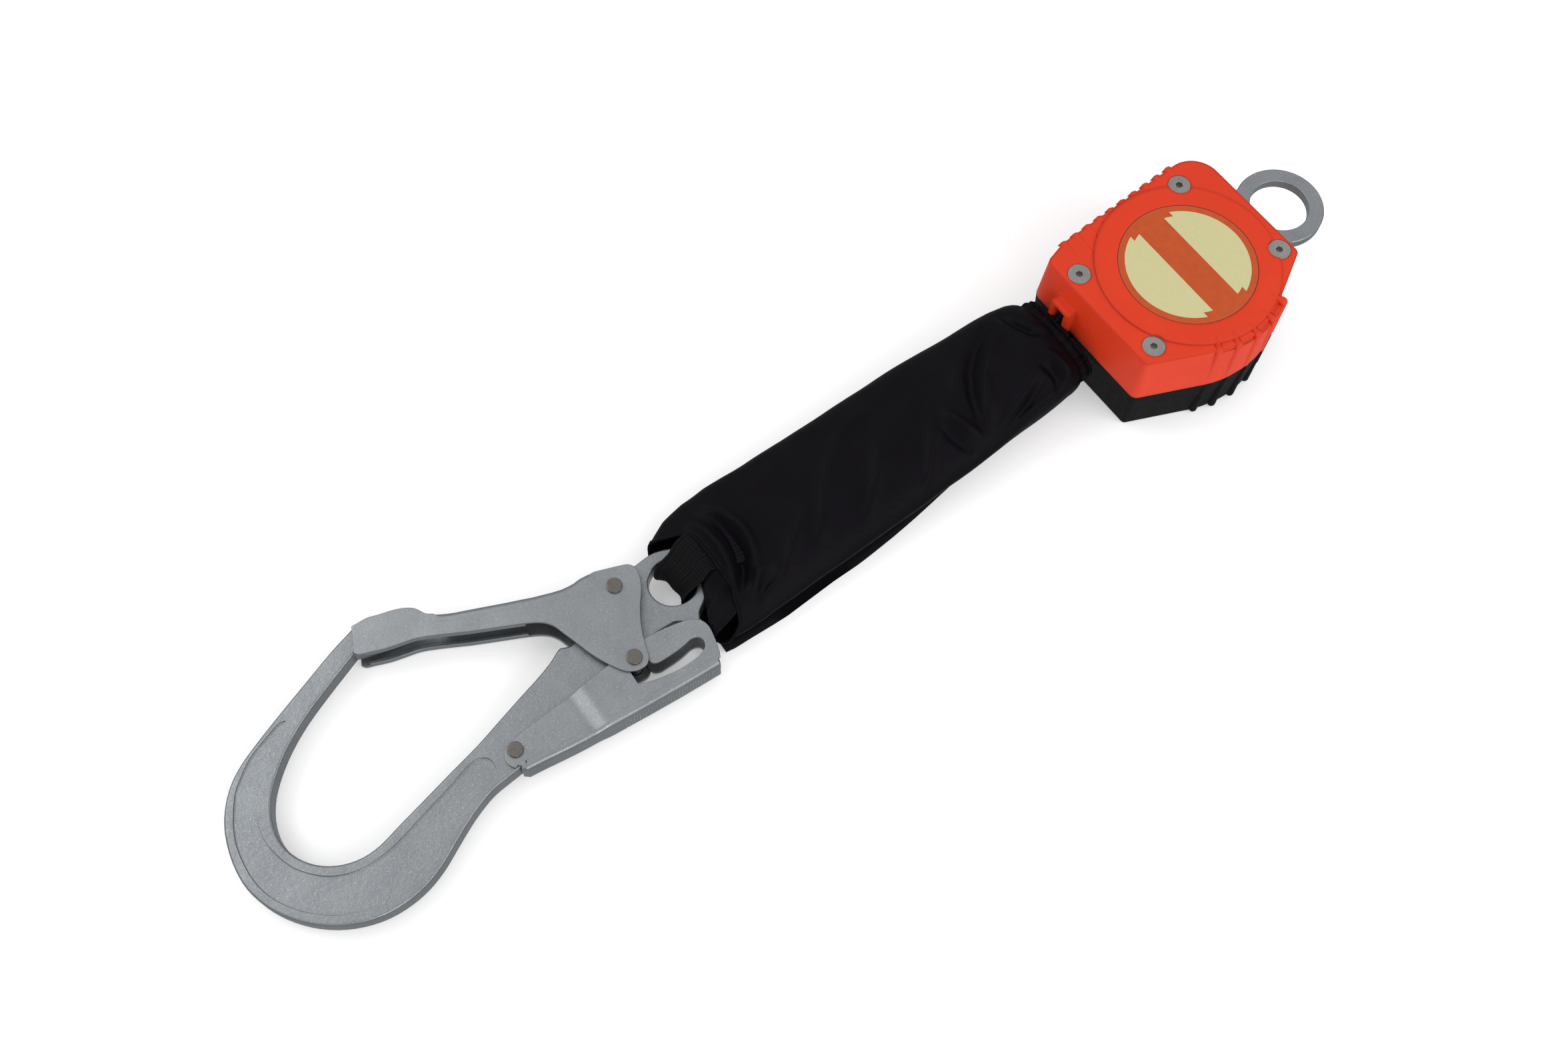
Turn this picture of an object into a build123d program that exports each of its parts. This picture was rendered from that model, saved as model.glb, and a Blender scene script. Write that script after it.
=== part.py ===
from build123d import *
import os
from math import sin, cos, tan, asin, radians, degrees, atan2, hypot

# Self retracting lifeline with its shock absorber and hook, in millimetres.
# Origin: centre of the anchor eye. +X: along the load line towards the anchor.
# +Z: out of the housing's front face. The device lies on its back, floor at Z = -28.
# Order along -X: anchor eye, housing with the drum, sleeve with the absorber, hook.

os.makedirs("parts", exist_ok=True)

# ---------------------------------------------------------------- driving dimensions
SIDES = (1, -1)          # towards +Z, towards -Z
HALF_T = 28.0            # half thickness of the housing at the drum boss
FACE_Z = HALF_T - 1.0    # flat face round the boss
DRUM = (-74.9, -8.6)     # drum axis
FRAME_IN = 14.5          # inner face of each frame plate from mid-plane
FRAME_T = 2.0
FRAME_OUT = FRAME_IN + FRAME_T
FIT = 0.05               # gap between neighbouring pieces
WEB_W, WEB_T = 25.0, 1.5  # webbing width and thickness
WEB_Y = 10.6             # webbing leaves the housing at this Y
HOOK_Z = -18.0           # mid-plane of the hook
PIV_A = (-370.0, 25.4)   # gate pivot rivet
PIV_B = (-381.4, -7.3)   # pin of the gate running in the lever's slot
PIV_C = (-444.9, -11.7)  # lever pivot rivet
EYE_C = (-347.3, 13.6)   # webbing eye of the hook


# ---------------------------------------------------------------- helpers
def polar(centre, radius, angle):
    """Point at a radius and an angle in degrees about a centre."""
    return (centre[0] + radius * cos(radians(angle)), centre[1] + radius * sin(radians(angle)))


def turned(point, centre, angle):
    """The point turned about a centre, in degrees."""
    x, y = point[0] - centre[0], point[1] - centre[1]
    c, s = cos(radians(angle)), sin(radians(angle))
    return (centre[0] + x * c - y * s, centre[1] + x * s + y * c)


def outline(corners):
    """Closed outline of straight lines with a tangent arc at each (x, y, radius) corner."""
    count = len(corners)
    bends = []  # start, middle and end of the arc at each corner
    for i, (x, y, radius) in enumerate(corners):
        corner = Vector(x, y)
        if radius <= 0:
            bends.append((corner, None, corner))
            continue
        to_last = (Vector(*corners[i - 1][:2]) - corner).normalized()
        to_next = (Vector(*corners[(i + 1) % count][:2]) - corner).normalized()
        half_angle = radians(to_last.get_angle(to_next)) / 2
        run = radius / tan(half_angle)
        depth = radius / sin(half_angle) - radius
        middle = corner + (to_last + to_next).normalized() * depth
        bends.append((corner + to_last * run, middle, corner + to_next * run))
    for i, (start, middle, end) in enumerate(bends):
        if middle is not None:
            ThreePointArc(start, middle, end)
        next_start = bends[(i + 1) % count][0]
        if (next_start - end).length > 1e-6:
            Line(end, next_start)


def inset(corners, depth):
    """Corners of an anticlockwise outline moved inwards, radii reduced to match."""
    sides = []  # a point on each moved side and the side's direction
    for i, (x, y, _) in enumerate(corners):
        next_x, next_y, _ = corners[(i + 1) % len(corners)]
        length = hypot(next_x - x, next_y - y)
        along_x, along_y = (next_x - x) / length, (next_y - y) / length
        sides.append((x - along_y * depth, y + along_x * depth, along_x, along_y))
    moved = []
    for i, (_, _, radius) in enumerate(corners):
        x1, y1, u1, v1 = sides[i - 1]
        x2, y2, u2, v2 = sides[i]
        step = ((x2 - x1) * v2 - (y2 - y1) * u2) / (u1 * v2 - v1 * u2)
        moved.append((x1 + u1 * step, y1 + v1 * step, max(radius - depth, 0.8)))
    return moved


def soften(operation, edges, size):
    """Fillet or chamfer edges; the part stays as it is if the kernel refuses the size."""
    try:
        operation(edges, size)
    except Exception:
        return False
    return True


def at_height(z):
    """Edge test: centred at a height z either side of the mid-plane."""
    return lambda edge: abs(abs(edge.center().Z) - z) < 0.02


def drum_disc(z, height, radius, bore=0):
    """Disc about the drum axis, rising from z."""
    with BuildPart() as disc:
        with BuildSketch(Plane.XY.offset(z)):
            with Locations(DRUM):
                Circle(radius)
                if bore:
                    Circle(bore, mode=Mode.SUBTRACT)
        extrude(amount=height)
    return disc.part


# ---------------------------------------------------------------- housing
WALL = 2.4
DRAFT = 4.0              # mould draft of the shell sides, degrees
# corners at the parting plane, anticlockwise: x, y, radius
BASE = [(-128.0, 31.5, 5), (-127.2, -39.0, 4), (-74.9, -61.2, 46), (-26.3, -34.0, 5),
        (-26.8, 39.5, 16), (-114.0, 35.6, 9)]
BOSS_R, BOSS_T = 43.0, 1.6
BAND_R, BAND_H, BAND_ANGLES = 47.6, 25.2, (-116, -56)  # grip band on the -Y side
BAND_DRAFT = 2.0
GRIP_ANGLES = [-60, -74, -88, -102]
GRIP_R = 1.6
RIB_COUNT = 10
RIB_A, RIB_B = (-113.5, 34.6), (-47.0, 38.3)  # first and last rib of the +Y edge
RIB_FOOT_R, RIB_TOP_R = 1.7, 1.5
RIB_TOP_Z = HALF_T - 2.3
COLLAR_X, COLLAR_Y = -131.6, 11.8
COLLAR_W, COLLAR_HALF_H = 12.0, 15.5
WEB_SLOT_W, WEB_SLOT_HALF_H = 6.2, 13.2
ANCHOR_SLOT_W, ANCHOR_SLOT_HALF_H = 38.8, 2.7
SCREWS = [(-48.2, 27.1), (-34.5, -26.8), (-118.6, 16.5), (-116.0, -32.1)]
POST_R = 4.6
SCREW_R, SCREW_HOLE_R = 2.4, 2.7
SCREW_HEAD_R, HEAD_SEAT_R = 5.25, 5.45
SCREW_TIP_Z = -8.0
SCREW_CONE_Z0, SCREW_CONE_Z1 = FACE_Z - 3.0, FACE_Z - 0.5
SCREW_RIM_T = 0.35
HEX_R, HEX_DEPTH = 1.75, 2.2
INSERT_POCKET_R, INSERT_POCKET_DEPTH = 3.3, 12.2
INSERT_R, INSERT_BORE_R, INSERT_Z, INSERT_H = 3.2, 2.5, -11.0, 10.5
LABEL_R = 32.0


def pie_slice(radius, angle_0, angle_1):
    """Closed pie slice about the drum axis."""
    start, end = polar(DRUM, radius, angle_0), polar(DRUM, radius, angle_1)
    Line(DRUM, start)
    ThreePointArc(start, polar(DRUM, radius, (angle_0 + angle_1) / 2), end)
    Line(end, DRUM)


def shell(side):
    """One half of the housing, from the parting plane at Z = 0 out to the face."""
    with BuildPart() as half:
        with BuildSketch(Plane.XY):
            with BuildLine():
                outline(BASE)
            make_face()
        extrude(amount=side * FACE_Z, taper=DRAFT)
        # round drum boss, proud of the face
        with BuildSketch(Plane.XY.offset(side * (HALF_T - BOSS_T))):
            with Locations(DRUM):
                Circle(BOSS_R)
        extrude(amount=side * BOSS_T)
        # raised grip band round the drum
        with BuildSketch(Plane.XY):
            with BuildLine():
                pie_slice(BAND_R, *BAND_ANGLES)
            make_face()
        extrude(amount=side * BAND_H, taper=BAND_DRAFT)
        soften(fillet, half.edges().filter_by(at_height(FACE_Z)), 1.6)
        soften(fillet, half.edges().filter_by(at_height(HALF_T)), 1.2)
        # small upright grip ribs on the band
        for angle in GRIP_ANGLES:
            with BuildSketch(Plane.XY.offset(side * 2.0)):
                with Locations(polar(DRUM, BAND_R - 0.9, angle)):
                    Circle(GRIP_R)
            extrude(amount=side * 21.5, taper=BAND_DRAFT)
        # ribs on the long +Y edge, leaning with the draft and ending in a ball
        for i in range(RIB_COUNT):
            f = i / (RIB_COUNT - 1)
            x = RIB_A[0] + (RIB_B[0] - RIB_A[0]) * f
            y = RIB_A[1] + (RIB_B[1] - RIB_A[1]) * f
            y_top = y - tan(radians(DRAFT)) * (HALF_T - 2.0) + 0.1
            with BuildSketch(Plane.XY.offset(side * 1.5)):
                with Locations((x, y)):
                    Circle(RIB_FOOT_R)
            with BuildSketch(Plane.XY.offset(side * RIB_TOP_Z)):
                with Locations((x, y_top)):
                    Circle(RIB_TOP_R)
            loft()
            with Locations((x, y_top, side * RIB_TOP_Z)):
                Sphere(RIB_TOP_R)
        # collar round the webbing's way out
        with BuildSketch(Plane.YZ.offset(COLLAR_X)):
            with Locations((COLLAR_Y, side * COLLAR_HALF_H / 2)):
                Rectangle(COLLAR_W, COLLAR_HALF_H)
        extrude(amount=8.0)
        # hollow inside
        with BuildSketch(Plane.XY):
            with BuildLine():
                outline(inset(BASE, WALL))
            make_face()
        extrude(amount=side * (FACE_Z - WALL), taper=DRAFT, mode=Mode.SUBTRACT)
        # slot for the webbing
        with BuildSketch(Plane.YZ.offset(-133.0)):
            with Locations((COLLAR_Y, side * WEB_SLOT_HALF_H / 2)):
                Rectangle(WEB_SLOT_W, WEB_SLOT_HALF_H)
        extrude(amount=12.0, mode=Mode.SUBTRACT)
        # slot for the anchor plate
        with BuildSketch(Plane.YZ.offset(-32.0)):
            with Locations((0, side * ANCHOR_SLOT_HALF_H / 2)):
                Rectangle(ANCHOR_SLOT_W, ANCHOR_SLOT_HALF_H)
        extrude(amount=10.0, mode=Mode.SUBTRACT)
        # screw posts
        with BuildSketch(Plane.XY.offset(side * 0.05)):
            with Locations(*SCREWS):
                Circle(POST_R)
        extrude(amount=side * (HALF_T - 1.5))
        if side > 0:
            with Locations(*[(x, y, 20) for x, y in SCREWS]):
                Cylinder(SCREW_HOLE_R, 44, mode=Mode.SUBTRACT)
            # countersinks for the screw heads
            for x, y in SCREWS:
                with Locations((x, y, HALF_T - 2.75)):
                    Cone(SCREW_HOLE_R, HEAD_SEAT_R, 2.7, mode=Mode.SUBTRACT)
                with Locations((x, y, HALF_T - 0.15)):
                    Cylinder(HEAD_SEAT_R, 2.5, mode=Mode.SUBTRACT)
            # label seat
            with BuildSketch(Plane.XY.offset(HALF_T)):
                with Locations(DRUM):
                    Circle(LABEL_R + 0.35)
            extrude(amount=-0.6, mode=Mode.SUBTRACT)
        else:
            # blind pockets for the threaded inserts
            with BuildSketch(Plane.XY):
                with Locations(*SCREWS):
                    Circle(INSERT_POCKET_R)
            extrude(amount=-INSERT_POCKET_DEPTH, mode=Mode.SUBTRACT)
    return half.part


def housing_screws():
    """Countersunk screws with a hexagon socket, heads in the front shell."""
    with BuildPart() as screws:
        for place in SCREWS:
            with BuildSketch(Plane.XY.offset(SCREW_TIP_Z)):
                with Locations(place):
                    Circle(SCREW_R)
            extrude(amount=SCREW_CONE_Z0 - SCREW_TIP_Z)
            with BuildSketch(Plane.XY.offset(SCREW_CONE_Z0)):
                with Locations(place):
                    Circle(SCREW_R)
            with BuildSketch(Plane.XY.offset(SCREW_CONE_Z1)):
                with Locations(place):
                    Circle(SCREW_HEAD_R)
            loft()
            with BuildSketch(Plane.XY.offset(SCREW_CONE_Z1)):
                with Locations(place):
                    Circle(SCREW_HEAD_R)
            extrude(amount=SCREW_RIM_T)
            with BuildSketch(Plane.XY.offset(SCREW_CONE_Z1 + SCREW_RIM_T)):
                with Locations(place):
                    RegularPolygon(HEX_R, 6)
            extrude(amount=-HEX_DEPTH, mode=Mode.SUBTRACT)
    return screws.part


def threaded_inserts():
    """Threaded sleeves in the rear shell's pockets, drawn as plain tubes."""
    with BuildPart() as inserts:
        with BuildSketch(Plane.XY.offset(INSERT_Z)):
            with Locations(*SCREWS):
                Circle(INSERT_R)
        extrude(amount=INSERT_H)
        with BuildSketch(Plane.XY.offset(INSERT_Z)):
            with Locations(*SCREWS):
                Circle(INSERT_BORE_R)
        extrude(amount=INSERT_H, mode=Mode.SUBTRACT)
    return inserts.part


# ---------------------------------------------------------------- anchor plate and frame
EYE_R, EYE_OUT_R = 14.3, 21.6   # anchor eye bore and rim
EYE_T = 5.0
ANCHOR_PINS = [(-34.6, 12.5), (-34.6, -12.5)]
ANCHOR_PIN_R, ANCHOR_PIN_END_R, ANCHOR_PIN_HEAD_R = 3.0, 2.5, 3.4
# plate behind the eye: x, y, corner radius
ANCHOR_TAIL = [(0, 19.0, 0), (-39.6, 19.0, 3), (-39.6, -19.0, 3), (0, -19.0, 0)]
GUIDE_R, GUIDE_END_R = 2.0, 1.5
LEAD_TURN_R = GUIDE_R + 0.15 + WEB_T / 2  # webbing centre line round the guide pin
GUIDES = [(-109.0, WEB_Y + LEAD_TURN_R), (-119.0, 7.3)]
# frame plate outline: x, y, corner radius
FRAME = [(-30.8, 18.8, 3), (-30.8, -18.2, 3), (-41.0, -20.0, 2), (-45.0, -34.0, 4),
         (-60.0, -42.0, 4), (-92.0, -42.0, 6), (-108.0, -30.0, 3), (-108.0, -22.0, 2),
         (-122.4, -22.0, 3), (-122.4, 11.2, 2), (-112.2, 11.2, 1), (-112.2, 25.0, 3),
         (-60.0, 26.0, 3), (-56.0, 18.8, 3)]
BUSH_R = 5.0                    # bush bore
BUSH_OUT_R, BUSH_FLANGE_R = 7.0, 8.4


def anchor_plate():
    """Plate with the anchor eye, held by two pins between the frame plates."""
    with BuildPart() as plate:
        with BuildSketch(Plane.XY.offset(-EYE_T / 2)):
            Circle(EYE_OUT_R)
            with BuildLine():
                outline(ANCHOR_TAIL)
            make_face()
            Circle(EYE_R, mode=Mode.SUBTRACT)
            with Locations(*ANCHOR_PINS):
                Circle(ANCHOR_PIN_R + FIT, mode=Mode.SUBTRACT)
        extrude(amount=EYE_T)
        rim = plate.edges().filter_by(GeomType.CIRCLE).filter_by(lambda edge: edge.radius > 20)
        soften(chamfer, rim, 0.5)
        bore_rim = plate.edges().filter_by(GeomType.CIRCLE).filter_by(
            lambda edge: abs(edge.radius - EYE_R) < 0.01)
        soften(fillet, bore_rim, 0.4)
    return plate.part


def frame_plate(z):
    """Frame plate rising from z."""
    with BuildPart() as plate:
        with BuildSketch(Plane.XY.offset(z)):
            with BuildLine():
                outline(FRAME)
            make_face()
            with Locations(DRUM):
                Circle(BUSH_OUT_R + FIT, mode=Mode.SUBTRACT)
            with Locations(*ANCHOR_PINS):
                Circle(ANCHOR_PIN_END_R + FIT, mode=Mode.SUBTRACT)
            with Locations(*GUIDES):
                Circle(GUIDE_END_R + FIT, mode=Mode.SUBTRACT)
        extrude(amount=FRAME_T)
    return plate.part


def anchor_pins():
    """Shouldered pins through both frame plates, with a head at each end."""
    with BuildPart() as pins:
        for place in ANCHOR_PINS:
            with BuildSketch(Plane.XY.offset(-FRAME_IN + FIT)):
                with Locations(place):
                    Circle(ANCHOR_PIN_R)
            extrude(amount=2 * (FRAME_IN - FIT))
            with BuildSketch(Plane.XY.offset(-FRAME_OUT - FIT)):
                with Locations(place):
                    Circle(ANCHOR_PIN_END_R)
            extrude(amount=2 * (FRAME_OUT + FIT))
            for side in SIDES:
                with BuildSketch(Plane.XY.offset(side * (FRAME_OUT + FIT))):
                    with Locations(place):
                        Circle(ANCHOR_PIN_HEAD_R)
                extrude(amount=side * 1.2)
    return pins.part


def guide_pins():
    """Shouldered pins beside the webbing's way out."""
    with BuildPart() as pins:
        for place in GUIDES:
            with BuildSketch(Plane.XY.offset(-FRAME_IN + FIT)):
                with Locations(place):
                    Circle(GUIDE_R)
            extrude(amount=2 * (FRAME_IN - FIT))
            with BuildSketch(Plane.XY.offset(-FRAME_OUT - 0.6)):
                with Locations(place):
                    Circle(GUIDE_END_R)
            extrude(amount=2 * (FRAME_OUT + 0.6))
    return pins.part


def axle_bushes():
    """Flanged bushes that carry the axle in the frame plates."""
    with BuildPart() as bushes:
        for side in SIDES:
            with BuildSketch(Plane.XY.offset(side * (FRAME_IN - 0.15))):
                with Locations(DRUM):
                    Circle(BUSH_OUT_R)
                    Circle(BUSH_R, mode=Mode.SUBTRACT)
            extrude(amount=side * 2.5)
            with BuildSketch(Plane.XY.offset(side * (FRAME_OUT + FIT))):
                with Locations(DRUM):
                    Circle(BUSH_FLANGE_R)
                    Circle(BUSH_R, mode=Mode.SUBTRACT)
            extrude(amount=side * 0.8)
    return bushes.part


# ---------------------------------------------------------------- drum
AXLE_R = BUSH_R - FIT
AXLE_BORE_R = AXLE_R + 0.02     # bore of the pieces fixed on the axle
AXLE_Z, AXLE_LENGTH = -23.6, 46.8
HUB_R, HUB_HALF_W = 14.0, 12.7
COIL_R = 33.5                   # wound coil outer radius
FLANGE_R, FLANGE_Z, FLANGE_T = 36.0, 12.8, 1.1


def axle():
    """Drum axle, its rear end slotted for the inner end of the recoil spring."""
    with BuildPart() as rod:
        with BuildSketch(Plane.XY.offset(AXLE_Z)):
            with Locations(DRUM):
                Circle(AXLE_R)
        extrude(amount=AXLE_LENGTH)
        with BuildSketch(Plane.XY.offset(-24.5)):
            with Locations(DRUM):
                Rectangle(1.0, 14.0)
        extrude(amount=7.0, mode=Mode.SUBTRACT)
    return rod.part


def drum_flange(side):
    """Drum side plate with six round holes."""
    with BuildPart() as plate:
        with BuildSketch(Plane.XY.offset(side * FLANGE_Z)):
            with Locations(DRUM):
                Circle(FLANGE_R)
                Circle(AXLE_BORE_R, mode=Mode.SUBTRACT)
                with PolarLocations(24.0, 6):
                    Circle(4.0, mode=Mode.SUBTRACT)
        extrude(amount=side * FLANGE_T)
    return plate.part


def webbing_lead():
    """Webbing from the coil, round the first guide pin and out of the collar."""
    guide = GUIDES[0]
    coil_r = COIL_R + 0.1 + WEB_T / 2
    span_x, span_y = DRUM[0] - guide[0], DRUM[1] - guide[1]
    # direction of the straight that touches both the coil and the turn round the pin
    straight = degrees(atan2(span_y, span_x)
                       + asin((coil_r + LEAD_TURN_R) / hypot(span_x, span_y)))

    def face_points(offset):
        """One face of the webbing, offset from its centre line (up is +)."""
        turn = [polar(guide, LEAD_TURN_R - offset, -90 + straight * k / 4) for k in range(5)]
        return [(-131.0, WEB_Y + offset), *turn, polar(DRUM, coil_r + offset, straight + 90)]

    with BuildPart() as lead:
        with BuildSketch(Plane.XY.offset(-WEB_W / 2)):
            with BuildLine():
                Polyline(*face_points(-WEB_T / 2), *face_points(WEB_T / 2)[::-1], close=True)
            make_face()
        extrude(amount=WEB_W)
    return lead.part


# ---------------------------------------------------------------- brake, in front of the frame
TEETH = 12
RING_OUT_R, RING_ROOT_R, RING_TIP_R = 32.0, 28.0, 24.6
# one tooth space of the ring: radius, degrees from the tooth's start
TOOTH = [(RING_ROOT_R, 1.0), (RING_ROOT_R, 17.0), (RING_TIP_R, 26.0), (RING_TIP_R, 29.0)]
RING_Z = FRAME_OUT + FIT
PAWL_Z0, PAWL_Z1 = 19.1, 22.0
PAWL_DISC_Z, PAWL_DISC_T = 17.45, 1.5
PAWL_PIN_Z = PAWL_DISC_Z + PAWL_DISC_T + 0.01
PAWL_PIN_R = 1.5
PAWL_PIVOT_R = 17.0             # pivots from the drum axis
PAWL_ANGLES = [200.0, 20.0]
# in the pawl's frame, x outwards and y along the turn: x, y, corner radius;
# the nose lies inside the tooth tips at rest
PAWL = [(-3.4, -3.2, 2.4), (3.6, -3.2, 2.4), (4.2, 6.0, 3.0), (2.6, 14.0, 0.6),
        (-0.6, 14.6, 0.6), (-4.4, 5.0, 3.0)]
# leaf spring in the same frame: x, y
PAWL_SPRING = [(-4.0, -7.4), (-3.4, -7.4), (-5.2, 4.0), (-3.8, 9.6), (-4.3, 9.8), (-5.9, 4.0)]


def ratchet_ring():
    """Ring with inward teeth on the front frame plate."""
    teeth = [polar(DRUM, radius, i * 360 / TEETH + angle)
             for i in range(TEETH) for radius, angle in TOOTH]
    with BuildPart() as ring:
        with BuildSketch(Plane.XY.offset(RING_Z)):
            with Locations(DRUM):
                Circle(RING_OUT_R)
            with BuildLine():
                Polyline(*teeth, close=True)
            make_face(mode=Mode.SUBTRACT)
        extrude(amount=PAWL_Z1 + 0.3 - RING_Z)
    return ring.part


def ring_rivets():
    """Four rivet heads on the ratchet ring."""
    with BuildPart() as heads:
        for angle in (45, 135, 225, 315):
            with BuildSketch(Plane.XY.offset(PAWL_Z1 + 0.32)):
                with Locations(polar(DRUM, 30.3, angle)):
                    Circle(1.6)
            extrude(amount=0.8)
    return heads.part


def pawl_plane(angle):
    """Frame of a pawl: origin at its pivot, x away from the drum axis."""
    return Plane((*polar(DRUM, PAWL_PIVOT_R, angle), PAWL_Z0),
                 x_dir=(*polar((0, 0), 1, angle), 0), z_dir=(0, 0, 1))


def pawl(angle):
    with BuildPart() as body:
        with BuildSketch(pawl_plane(angle)):
            with BuildLine():
                outline(PAWL)
            make_face()
            Circle(PAWL_PIN_R + FIT, mode=Mode.SUBTRACT)
        extrude(amount=PAWL_Z1 - PAWL_Z0)
    return body.part


def pawl_pins():
    """Headed pins that stand on the pawl disc."""
    with BuildPart() as pins:
        for angle in PAWL_ANGLES:
            place = polar(DRUM, PAWL_PIVOT_R, angle)
            with BuildSketch(Plane.XY.offset(PAWL_PIN_Z)):
                with Locations(place):
                    Circle(PAWL_PIN_R)
            extrude(amount=PAWL_Z1 - PAWL_PIN_Z + 0.2)
            with BuildSketch(Plane.XY.offset(PAWL_Z1 + 0.1)):
                with Locations(place):
                    Circle(2.4)
            extrude(amount=0.7)
    return pins.part


def pawl_springs():
    """Light leaf springs that hold the pawls in."""
    with BuildPart() as springs:
        for angle in PAWL_ANGLES:
            with BuildSketch(pawl_plane(angle)):
                with BuildLine():
                    Polyline(*PAWL_SPRING, close=True)
                make_face()
            extrude(amount=2.4)
    return springs.part


def axle_clip():
    """Open clip on the front end of the axle, its gap towards -Y."""
    with BuildPart() as clip:
        with BuildSketch(Plane.XY.offset(22.5)):
            with Locations(DRUM):
                Circle(7.2)
                Circle(AXLE_BORE_R, mode=Mode.SUBTRACT)
                with Locations((0, -6.0)):
                    Rectangle(5.0, 6.0, mode=Mode.SUBTRACT)
        extrude(amount=0.7)
    return clip.part


# ---------------------------------------------------------------- recoil spring, rear side
CASE_R, CASE_IN_R = 31.0, 30.2
CASE_Z0, CASE_Z1 = -FRAME_OUT - 0.9, -24.4  # open and closed end
CASE_FLOOR_T = 0.55
TURNS, TURN_STEPS = 9, 26
SPRING_R0, SPRING_R1 = 6.2, 29.4            # inner face of the strip at its two ends
STRIP_T, STRIP_W = 0.55, 5.6


def spring_case():
    """Round tin, open towards the frame."""
    with BuildPart() as case:
        with BuildSketch(Plane.XY.offset(CASE_Z0)):
            with Locations(DRUM):
                Circle(CASE_R)
                Circle(CASE_IN_R, mode=Mode.SUBTRACT)
        extrude(amount=CASE_Z1 - CASE_Z0)
        with BuildSketch(Plane.XY.offset(CASE_Z1 + CASE_FLOOR_T)):
            with Locations(DRUM):
                Circle(CASE_R)
        extrude(amount=-CASE_FLOOR_T)
    return case.part


def recoil_spring():
    """Flat spiral strip."""
    inner, outer = [], []
    for i in range(TURNS * TURN_STEPS + 1):
        angle = 360 * i / TURN_STEPS
        radius = SPRING_R0 + (SPRING_R1 - SPRING_R0) * i / (TURNS * TURN_STEPS)
        inner.append(polar(DRUM, radius, angle))
        outer.append(polar(DRUM, radius + STRIP_T, angle))
    with BuildPart() as spring:
        with BuildSketch(Plane.XY.offset(AXLE_Z)):
            with BuildLine():
                Polyline(*(inner + outer[::-1]), close=True)
            make_face()
        extrude(amount=STRIP_W)
    return spring.part


# ---------------------------------------------------------------- sleeve, absorber and webbing
# sleeve sections: x, centre y, centre z, half width (Y), half height (Z), corner radius
SLEEVE = [(-133.0, 4.6, -0.6, 21.4, 13.9, 11.8),
          (-138.5, 4.9, -1.0, 21.6, 13.9, 11.8),
          (-148.0, 7.4, -3.0, 27.0, 13.6, 11.3),
          (-163.0, 9.4, -6.2, 29.8, 12.7, 10.4),
          (-200.0, 9.6, -11.0, 31.5, 11.3, 9.5),
          (-262.0, 10.6, -16.2, 31.5, 10.7, 9.0),
          (-318.0, 11.2, -17.6, 31.6, 10.2, 8.6),
          (-334.0, 9.6, -17.9, 31.0, 9.9, 8.4),
          (-344.8, 5.2, -18.0, 27.8, 9.7, 8.2)]
SLEEVE_WALL = 1.2
PACK_Y = 10.4
PACK_A, PACK_B = (-172.0, -7.4), (-306.0, -17.2)  # absorber ends: x, z
TAIL_STEPS = 6
LOOP_R, LOOP_W = 5.7, 18.0      # inner radius of the loop's turn, width of the loop
LOOP_X0, LOOP_X1 = -307.4, -339.0  # loop's open end and centre of its turn


def sleeve_solid(shrink, overrun):
    """Lofted sleeve shape, shrunk all round and lengthened at both ends."""
    last = len(SLEEVE) - 1
    with BuildPart() as solid:
        for i, (x, y, z, half_w, half_h, radius) in enumerate(SLEEVE):
            x += overrun if i == 0 else (-overrun if i == last else 0)
            with BuildSketch(Plane((x, y, z), x_dir=(0, 1, 0), z_dir=(1, 0, 0))):
                RectangleRounded(2 * (half_w - shrink), 2 * (half_h - shrink), radius - shrink)
        loft(ruled=True)
    return solid.part


def sleeve():
    """Thin sleeve, open at both ends."""
    with BuildPart() as tube:
        add(sleeve_solid(shrink=0, overrun=0))
        add(sleeve_solid(shrink=SLEEVE_WALL, overrun=0.6), mode=Mode.SUBTRACT)
    return tube.part


def neck_band():
    """Elastic round the sleeve's neck."""
    with BuildPart() as band:
        with BuildSketch(Plane((-134.2, 4.75, -0.8), x_dir=(0, 1, 0), z_dir=(-1, 0, 0))):
            RectangleRounded(46.0, 31.0, 13.4)
            RectangleRounded(44.4, 29.4, 12.6, mode=Mode.SUBTRACT)
        extrude(amount=2.4)
    return band.part


def absorber_pack():
    """Shock absorber pack, sloping down inside the sleeve."""
    run_x, run_z = PACK_B[0] - PACK_A[0], PACK_B[1] - PACK_A[1]
    start = Plane((PACK_A[0], PACK_Y, PACK_A[1]), x_dir=(0, 1, 0), z_dir=(run_x, 0, run_z))
    with BuildPart() as pack:
        with BuildSketch(start):
            RectangleRounded(44.0, 12.0, 3.0)
        extrude(amount=hypot(run_x, run_z))
    return pack.part


def webbing_tail():
    """Webbing turning from upright at the collar to flat at the absorber."""
    x_start, x_end = -131.3, -171.7
    with BuildPart() as tail:
        for i in range(TAIL_STEPS + 1):
            f = i / TAIL_STEPS
            x = x_start + (x_end - x_start) * f
            y = WEB_Y + (PACK_Y - WEB_Y) * f
            z = -7.3 * f ** 1.15
            twist = radians(90 - 90 * f)
            across = (0, cos(twist), sin(twist))
            with BuildSketch(Plane((x, y, z), x_dir=across, z_dir=(-1, 0, 0))):
                Rectangle(WEB_W - 0.8, WEB_T)
        loft()
    return tail.part


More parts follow.
